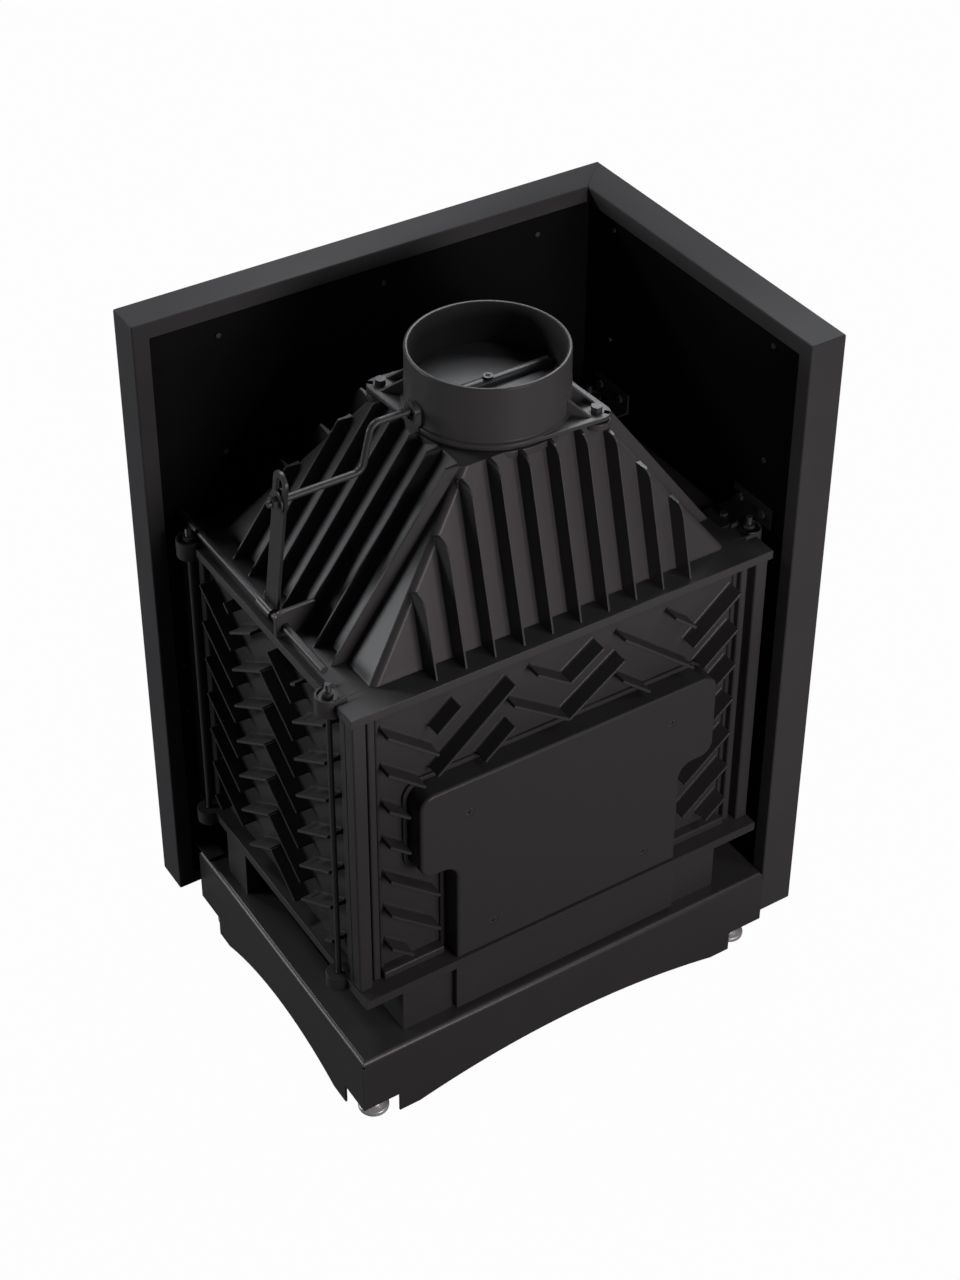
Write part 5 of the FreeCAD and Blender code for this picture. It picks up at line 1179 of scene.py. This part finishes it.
def stand_sheet(edges):
    """The folded stand: a deck with four arched skirts and cut corners, and the ash drawer's runners."""
    low, high = STAND_Z
    shell = slab("stand_sheet", both(STAND_X), STAND_Y, STAND_Z)
    edit(shell)
    pick(shell, "FACE", lambda face: face.normal.z < -FACING)
    bpy.ops.mesh.delete(type="FACE")
    pick(shell, "EDGE", lambda edge: min(v.co.z for v in edge.verts) > (high - OVER) * MM)
    bpy.ops.mesh.bevel(offset=STAND_FOLD * MM, segments=FOLD_STEPS, affect="EDGES")
    leave()
    thickened(shell, STAND_SHEET)
    carve(shell, arch("front_arch", Y, 0.0, STAND_Y, ARCH_X))
    carve(shell, arch("side_arch", X, sum(ARCH_Y) / 2.0, both(STAND_X), (ARCH_Y[1] - ARCH_Y[0]) / 2.0))
    for x in (STAND_X, -STAND_X):
        for y, start in zip(STAND_Y, NOTCH_Y):
            notch_x = sorted((math.copysign(NOTCH_X, x), x * NOTCH_PAST))
            notch_y = sorted((start, y * NOTCH_PAST))
            carve(shell, slab("corner_notch", notch_x, notch_y, (low - OVER, NOTCH_Z)))
            corner = at(x, y, high - STAND_FOLD)
            inwards = Vector((-math.copysign(SLIT_REACH, x), -math.copysign(SLIT_REACH, y), 0.0)) * MM
            carve(shell, drum("corner_relief", corner - inwards, corner + inwards, SLIT_R, THIN_SIDES))
    runners = across_x([rounded(slab("runner", *RUNNER), edges.sheet)], "runner")
    return joined("stand_sheet", [rounded(shell, edges.sheet, 1)] + runners)


def threaded(name, radius, low, high, foot):
    """A rod with a thread at both ends."""
    turns = range(2 * int(THREAD_LENGTH / THREAD_PITCH) + 1)
    lower = [(radius - THREAD_DEPTH * ((i + 1) % 2), low + THREAD_PITCH / 2.0 * i) for i in turns]
    upper = [(size, high + low - z) for size, z in reversed(lower)]
    return turned(name, [(0.0, low)] + lower + upper + [(0.0, high)], foot, sides=THIN_SIDES)


def tie_rods():
    """Four long rods with threaded ends."""
    rod = threaded("tie_rods_steel", TIE_R, *TIE_Z, at(TIE_X, TIE_Y[1], 0.0))
    return joined("tie_rods_steel", at_each_tie(rod, "tie_rod"))


def levelling_foot(x, y, edges):
    """A turned foot: a round pad with a cone, a hexagon and a threaded stud."""
    foot = at(x, y, 0.0)
    pad = turned("levelling_foot", FOOT_OUTLINE, foot)
    nut = rounded(bar("foot_hexagon", Z, (x, y), FOOT_NUT_Z, FOOT_NUT_R, HEXAGON), edges.turned)
    return joined("levelling_foot", [pad, nut, threaded("foot_stud", STUD_R, FOOT_NUT_Z[1], STUD_TOP, foot)])


def folded_panel(name, x, y, back, edges):
    """A folded sheet panel, longer than it needs to be at the mitre: a box open at its back, with a lip."""
    panel = slab(name, x, y, FACADE_Z)
    edit(panel)
    pick(panel, "FACE", lambda face: face.normal.dot(back) > FACING)
    bpy.ops.mesh.inset(thickness=FACADE_LIP * MM)
    bpy.ops.mesh.delete(type="FACE")
    leave()
    bevel_some(panel, lambda edge: len(edge.link_faces) == 2 and edge.calc_face_angle() > SHARP_ANGLE,
               edges.fold, EDGE_STEPS)
    return thickened(panel, FACADE_SHEET)


def mitred(panel, mitre, edges):
    """Round a panel's edges, and cut it just short of the mitre where the two panels meet."""
    corner = at(FACADE_X[0], FACADE_Y[0], 0.0)
    return trim(rounded(panel, edges.sheet), corner - mitre.normalized() * MITRE_GAP * MM, mitre)


def window_sleeve(name, low, high, along, edges):
    """The return of sheet round a window: a short rectangular tube."""
    wall = Vector((1.0, 1.0, 1.0)) - along
    tube = block(name, low - wall * FACADE_SHEET * MM, high + wall * FACADE_SHEET * MM)
    carve(tube, block("sleeve_hole", low - along * OVER * MM, high + along * OVER * MM))
    return rounded(tube, edges.sheet)


def surround_front(edges):
    """The front panel with the door window, the drawer opening, the air slot and the pull rod's hole."""
    y = FACADE_Y[0]
    panel = folded_panel("surround_front", (FACADE_X[0] - FACADE_DEPTH - FACADE_LIP, FACADE_X[1]),
                         (y, y + FACADE_DEPTH), BACK, edges)
    sheet = past((y, y + FACADE_SHEET))
    for x, z in FRONT_HOLES:
        carve(panel, slab("front_hole", x, sheet, z))
    carve(panel, bar("rod_hole", Y, PULL_ROD, sheet, ROD_HOLE_R))
    sleeve = window_sleeve("front_sleeve", at(WINDOW_X[0], y + FACADE_SHEET, WINDOW_Z[0]),
                           at(WINDOW_X[1], y + WINDOW_RETURN, WINDOW_Z[1]), BACK, edges)
    jamb = past((WINDOW_X[0] - FACADE_SHEET, WINDOW_X[0]))
    carve(sleeve, slab("keeper_hole", jamb, KEEPER_Y, KEEPER_Z))
    return joined("surround_front", [mitred(panel, BACK - RIGHT, edges), sleeve])


def surround_side(edges):
    """The side panel with the window of the glazed side."""
    x = FACADE_X[0]
    panel = folded_panel("surround_side", (x, x + FACADE_DEPTH),
                         (FACADE_Y[0] - FACADE_DEPTH - FACADE_LIP, FACADE_Y[1]), RIGHT, edges)
    carve(panel, slab("side_hole", past((x, x + FACADE_SHEET)), WINDOW_Y, WINDOW_Z))
    sleeve = window_sleeve("side_sleeve", at(x + FACADE_SHEET, WINDOW_Y[0], WINDOW_Z[0]),
                           at(x + WINDOW_RETURN, WINDOW_Y[1], WINDOW_Z[1]), RIGHT, edges)
    return joined("surround_side", [mitred(panel, RIGHT - BACK, edges), sleeve])


def turn_knob(node, shape, axis):
    """A round piece that fills a node's box: an outline in shares of radius and length, along an axis."""
    low, high = [Vector(corner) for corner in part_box(node)]
    size = high - low
    along = max(range(3), key=lambda i: abs(axis[i]))
    across = (along + 1) % 3
    foot = (low + high) / 2.0 - axis * size[along] / 2.0
    outline = [(radius * size[across] / 2.0 / MM, height * size[along] / MM) for radius, height in shape]
    stand_for(smooth(turned(node + "_turned", outline, foot, axis, BAR_SIDES)), node)


def boards(node, name, axis, count, edges):
    """A slab laid from several boards side by side, with a thin joint between them."""
    low, high = [Vector(corner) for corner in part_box(node)]
    pitch = (high[axis] - low[axis] + BOARD_JOINT * MM) / count
    pieces = []
    for number in range(count):
        start, end = low.copy(), high.copy()
        start[axis] = low[axis] + pitch * number
        end[axis] = start[axis] + pitch - BOARD_JOINT * MM
        pieces.append(rounded(block(name, start, end), edges.board))
    return joined(name, pieces)


class INSERT_OT_finishes(bpy.types.Operator):
    """Make the materials, and give each node the one of its slot"""

    bl_idname = "insert.finishes"
    bl_label = "Finishes"

    def execute(self, context):
        FINISHES.update(make_finishes(context.scene.insert_finishes))
        for node, thing in frame["nodes"].items():
            paint(thing, node)
        return {"FINISHED"}


class INSERT_OT_hood(bpy.types.Operator):
    """Model the hood, its ribs and the top frame"""

    bl_idname = "insert.hood"
    bl_label = "Hood"

    def execute(self, context):
        edges = context.scene.insert_edges
        stand_for(smooth(hood_shell(edges)), "hood")
        stand_for(smooth(top_frame(edges)), "top_frame")
        stand_for(smooth(hood_ribs(edges)), "hood_ribs")
        return {"FINISHED"}


class INSERT_OT_walls(bpy.types.Operator):
    """Model the finned walls and the rear cover, and round the other castings"""

    bl_idname = "insert.walls"
    bl_label = "Cast walls"

    def execute(self, context):
        edges = context.scene.insert_edges
        stand_for(smooth(rear_wall(edges)), "rear_plate")
        stand_for(smooth(side_wall(edges)), "side_plate")
        stand_for(rear_cover(edges), "rear_cover")
        soften(["bottom_plate", "front_frame", "side_window_frame", "grate"], "cast", edges.cast)
        return {"FINISHED"}


class INSERT_OT_flue(bpy.types.Operator):
    """Model the flue collar, the crank pin's washers and the knob, and round the damper"""

    bl_idname = "insert.flue"
    bl_label = "Flue"

    def execute(self, context):
        edges = context.scene.insert_edges
        stand_for(smooth(flue_collar(edges)), "flue_collar")
        soften(["damper_disc"], "cast", edges.turned * 2.0)
        stand_for(pin_fasteners(edges), "pin_fasteners")
        soften(["damper_shaft", "damper_lever", "damper_screw", "pull_rod"], "steel", edges.turned)
        turn_knob("damper_knob", KNOB_SHAPE, -BACK)
        return {"FINISHED"}


class INSERT_OT_stand(bpy.types.Operator):
    """Model the stand and its feet, and round the air box"""

    bl_idname = "insert.stand"
    bl_label = "Stand"

    def execute(self, context):
        edges = context.scene.insert_edges
        stand_for(stand_sheet(edges), "base_frame")
        first = smooth(levelling_foot(*FEET[0], edges))
        for number, (x, y) in enumerate(FEET, 1):
            move = at(x, y, 0.0) - at(*FEET[0], 0.0)
            foot = first if number == 1 else twin(first, "levelling_foot_zinc", Matrix.Translation(move))
            stand_for(foot, "levelling_foot_%d" % number)
        soften(["air_box", "air_box_cover", "foot_brackets"], "sheet", edges.sheet)
        soften(["foot_locknuts"], "steel", edges.turned)
        return {"FINISHED"}


class INSERT_OT_surround(bpy.types.Operator):
    """Model the surround's folded panels, and round its brackets and screws"""

    bl_idname = "insert.surround"
    bl_label = "Surround"

    def execute(self, context):
        edges = context.scene.insert_edges
        stand_for(surround_front(edges), "facade_front")
        stand_for(surround_side(edges), "facade_side")
        soften(["facade_brackets", "side_glass_frame"], "sheet", edges.sheet)
        soften(["lining_screws", "bracket_bolts"], "steel", edges.turned)
        return {"FINISHED"}


class INSERT_OT_fasteners(bpy.types.Operator):
    """Model the tie rods, and round nuts, washers and screws"""

    bl_idname = "insert.fasteners"
    bl_label = "Fasteners"

    def execute(self, context):
        edges = context.scene.insert_edges
        stand_for(smooth(tie_rods()), "tie_rods")
        soften(["tie_rod_nuts", "tie_rod_washers", "collar_screws", "cover_screws"], "steel", edges.turned)
        return {"FINISHED"}


class INSERT_OT_door(bpy.types.Operator):
    """Model the handle and the knobs, and round the door, the drawer and the air slide"""

    bl_idname = "insert.door"
    bl_label = "Door and controls"

    def execute(self, context):
        edges = context.scene.insert_edges
        turn_knob("handle_grip", GRIP_SHAPE, UP)
        turn_knob("drawer_knob", KNOB_SHAPE, -BACK)
        turn_knob("air_knob", KNOB_SHAPE, -BACK)
        soften(["door_frame"], "cast", edges.cast)
        soften(["drawer_front", "ash_drawer", "air_slide", "hinge_brackets"], "sheet", edges.sheet)
        soften(["handle_lever", "hinge_pins", "glass_clips", "clip_screws"], "steel", edges.turned)
        soften(["door_glass", "side_glass"], "pane", edges.sheet)
        soften(["door_rope_seal"], "rope", edges.rope, FACE_STEPS)
        return {"FINISHED"}


class INSERT_OT_lining(bpy.types.Operator):
    """Lay the fire chamber's boards, and round its guard"""

    bl_idname = "insert.lining"
    bl_label = "Fire chamber"

    def execute(self, context):
        edges = context.scene.insert_edges
        for node, axis, count in BOARDS:
            stand_for(boards(node, node + "_boards", axis, count, edges), node)
        soften(["hearth_bricks"], "boards", edges.board)
        soften(["log_guard"], "cast", edges.cast)
        return {"FINISHED"}


class INSERT_OT_stage(bpy.types.Operator):
    """Set up the floor, the lamps and the camera"""

    bl_idname = "insert.stage"
    bl_label = "Stage"

    def execute(self, context):
        settings = context.scene.insert_stage
        add_floor(settings)
        add_sky(context.scene, settings)
        for name, (place, size, tint) in LAMPS.items():
            add_lamp(name + "_lamp", place, size, tint, getattr(settings, name))
        add_camera(context.scene)
        context.scene.view_settings.view_transform = "Standard"
        return {"FINISHED"}


def add_floor(settings):
    """A wide floor that keeps a soft shadow, and is white to the eye, through glass and in part to gloss."""
    bpy.ops.object.select_all(action="DESELECT")
    bpy.ops.mesh.primitive_plane_add(size=FLOOR_SIZE, location=(0.0, 0.0, 0.0))
    floor = fresh("studio_floor")
    tree = Tree(bpy.data.materials.new("studio_floor"))
    lit = tree.node("ShaderNodeBsdfDiffuse", inputs={"Color": (*settings.floor, 1.0)})
    glow = tree.node("ShaderNodeEmission")
    white = sum(tree.node("ShaderNodeLightPath", out=ray) * share for ray, share in RAY_SHARES.items())
    mixed = tree.node("ShaderNodeMixShader", inputs={0: white, 1: lit, 2: glow})
    tree.node("ShaderNodeOutputMaterial", inputs={"Surface": mixed})
    floor.data.materials.append(tree.owner)


def add_sky(scene, settings):
    """Even light from all around, white where the eye sees it."""
    scene.world = bpy.data.worlds.new("studio_sky")
    tree = Tree(scene.world)
    sky = tree.node("ShaderNodeBackground", inputs={"Strength": settings.sky, "Color": (1.0, 1.0, 1.0, 1.0)})
    seen = tree.node("ShaderNodeBackground")
    eye = tree.node("ShaderNodeLightPath", out="Is Camera Ray")
    mixed = tree.node("ShaderNodeMixShader", inputs={0: eye, 1: sky, 2: seen})
    tree.node("ShaderNodeOutputWorld", inputs={"Surface": mixed})


def add_lamp(name, place, size, tint, level):
    """A square soft lamp that faces the object."""
    lamp = bpy.data.lights.new(name, "AREA")
    lamp.size = size
    lamp.energy = level
    lamp.color = tint
    holder = bpy.data.objects.new(name, lamp)
    bpy.context.scene.collection.objects.link(holder)
    holder.matrix_world = Matrix.Translation(place) @ facing(Vector(place) - Vector(AIM))


def add_camera(scene):
    """The camera of the photograph, as an axis in space with a shifted frame."""
    lens = bpy.data.cameras.new("photo_camera")
    lens.sensor_fit = "VERTICAL"
    lens.sensor_height = SENSOR
    lens.lens = FOCAL_PIXELS / PHOTO_HEIGHT * SENSOR
    lens.shift_x = (PHOTO_WIDTH / 2.0 - AXIS_PIXEL[0]) / PHOTO_HEIGHT
    lens.shift_y = (AXIS_PIXEL[1] - PHOTO_HEIGHT / 2.0) / PHOTO_HEIGHT
    camera = bpy.data.objects.new("photo_camera", lens)
    scene.collection.objects.link(camera)
    turn, rise = math.radians(VIEW_AZIMUTH), math.radians(VIEW_ELEVATION)
    back = Vector((math.sin(turn) * math.cos(rise), -math.cos(turn) * math.cos(rise), math.sin(rise)))
    roll = Matrix.Rotation(math.radians(VIEW_ROLL), 4, "Z")
    camera.matrix_world = Matrix.Translation(VIEW_PLACE) @ facing(back) @ roll
    scene.camera = camera


class INSERT_PT_panel(bpy.types.Panel):
    """The steps that make the insert"""

    bl_idname = "INSERT_PT_panel"
    bl_label = "Fireplace insert"
    bl_space_type = "VIEW_3D"
    bl_region_type = "UI"
    bl_category = "Insert"

    def draw(self, context):
        for step in STEPS:
            self.layout.operator(step.bl_idname)


STEPS = (INSERT_OT_finishes, INSERT_OT_hood, INSERT_OT_walls, INSERT_OT_flue, INSERT_OT_stand,
         INSERT_OT_surround, INSERT_OT_fasteners, INSERT_OT_door, INSERT_OT_lining, INSERT_OT_stage)
GROUPS = {"insert_finishes": InsertFinishes, "insert_edges": InsertEdges, "insert_stage": InsertStage}


def register():
    """Register the settings, the steps and the panel."""
    for name, group in GROUPS.items():
        bpy.utils.register_class(group)
        setattr(bpy.types.Scene, name, bpy.props.PointerProperty(type=group))
    for step in (*STEPS, INSERT_PT_panel):
        bpy.utils.register_class(step)


def unregister():
    """Take back what register() added."""
    for step in (INSERT_PT_panel, *STEPS):
        bpy.utils.unregister_class(step)
    for name, group in GROUPS.items():
        delattr(bpy.types.Scene, name)
        bpy.utils.unregister_class(group)


def main():
    """Make every piece in order."""
    register()
    bpy.ops.insert.finishes()
    bpy.ops.insert.hood()
    bpy.ops.insert.walls()
    bpy.ops.insert.flue()
    bpy.ops.insert.stand()
    bpy.ops.insert.surround()
    bpy.ops.insert.fasteners()
    bpy.ops.insert.door()
    bpy.ops.insert.lining()
    bpy.ops.insert.stage()


if __name__ == "__main__":
    main()
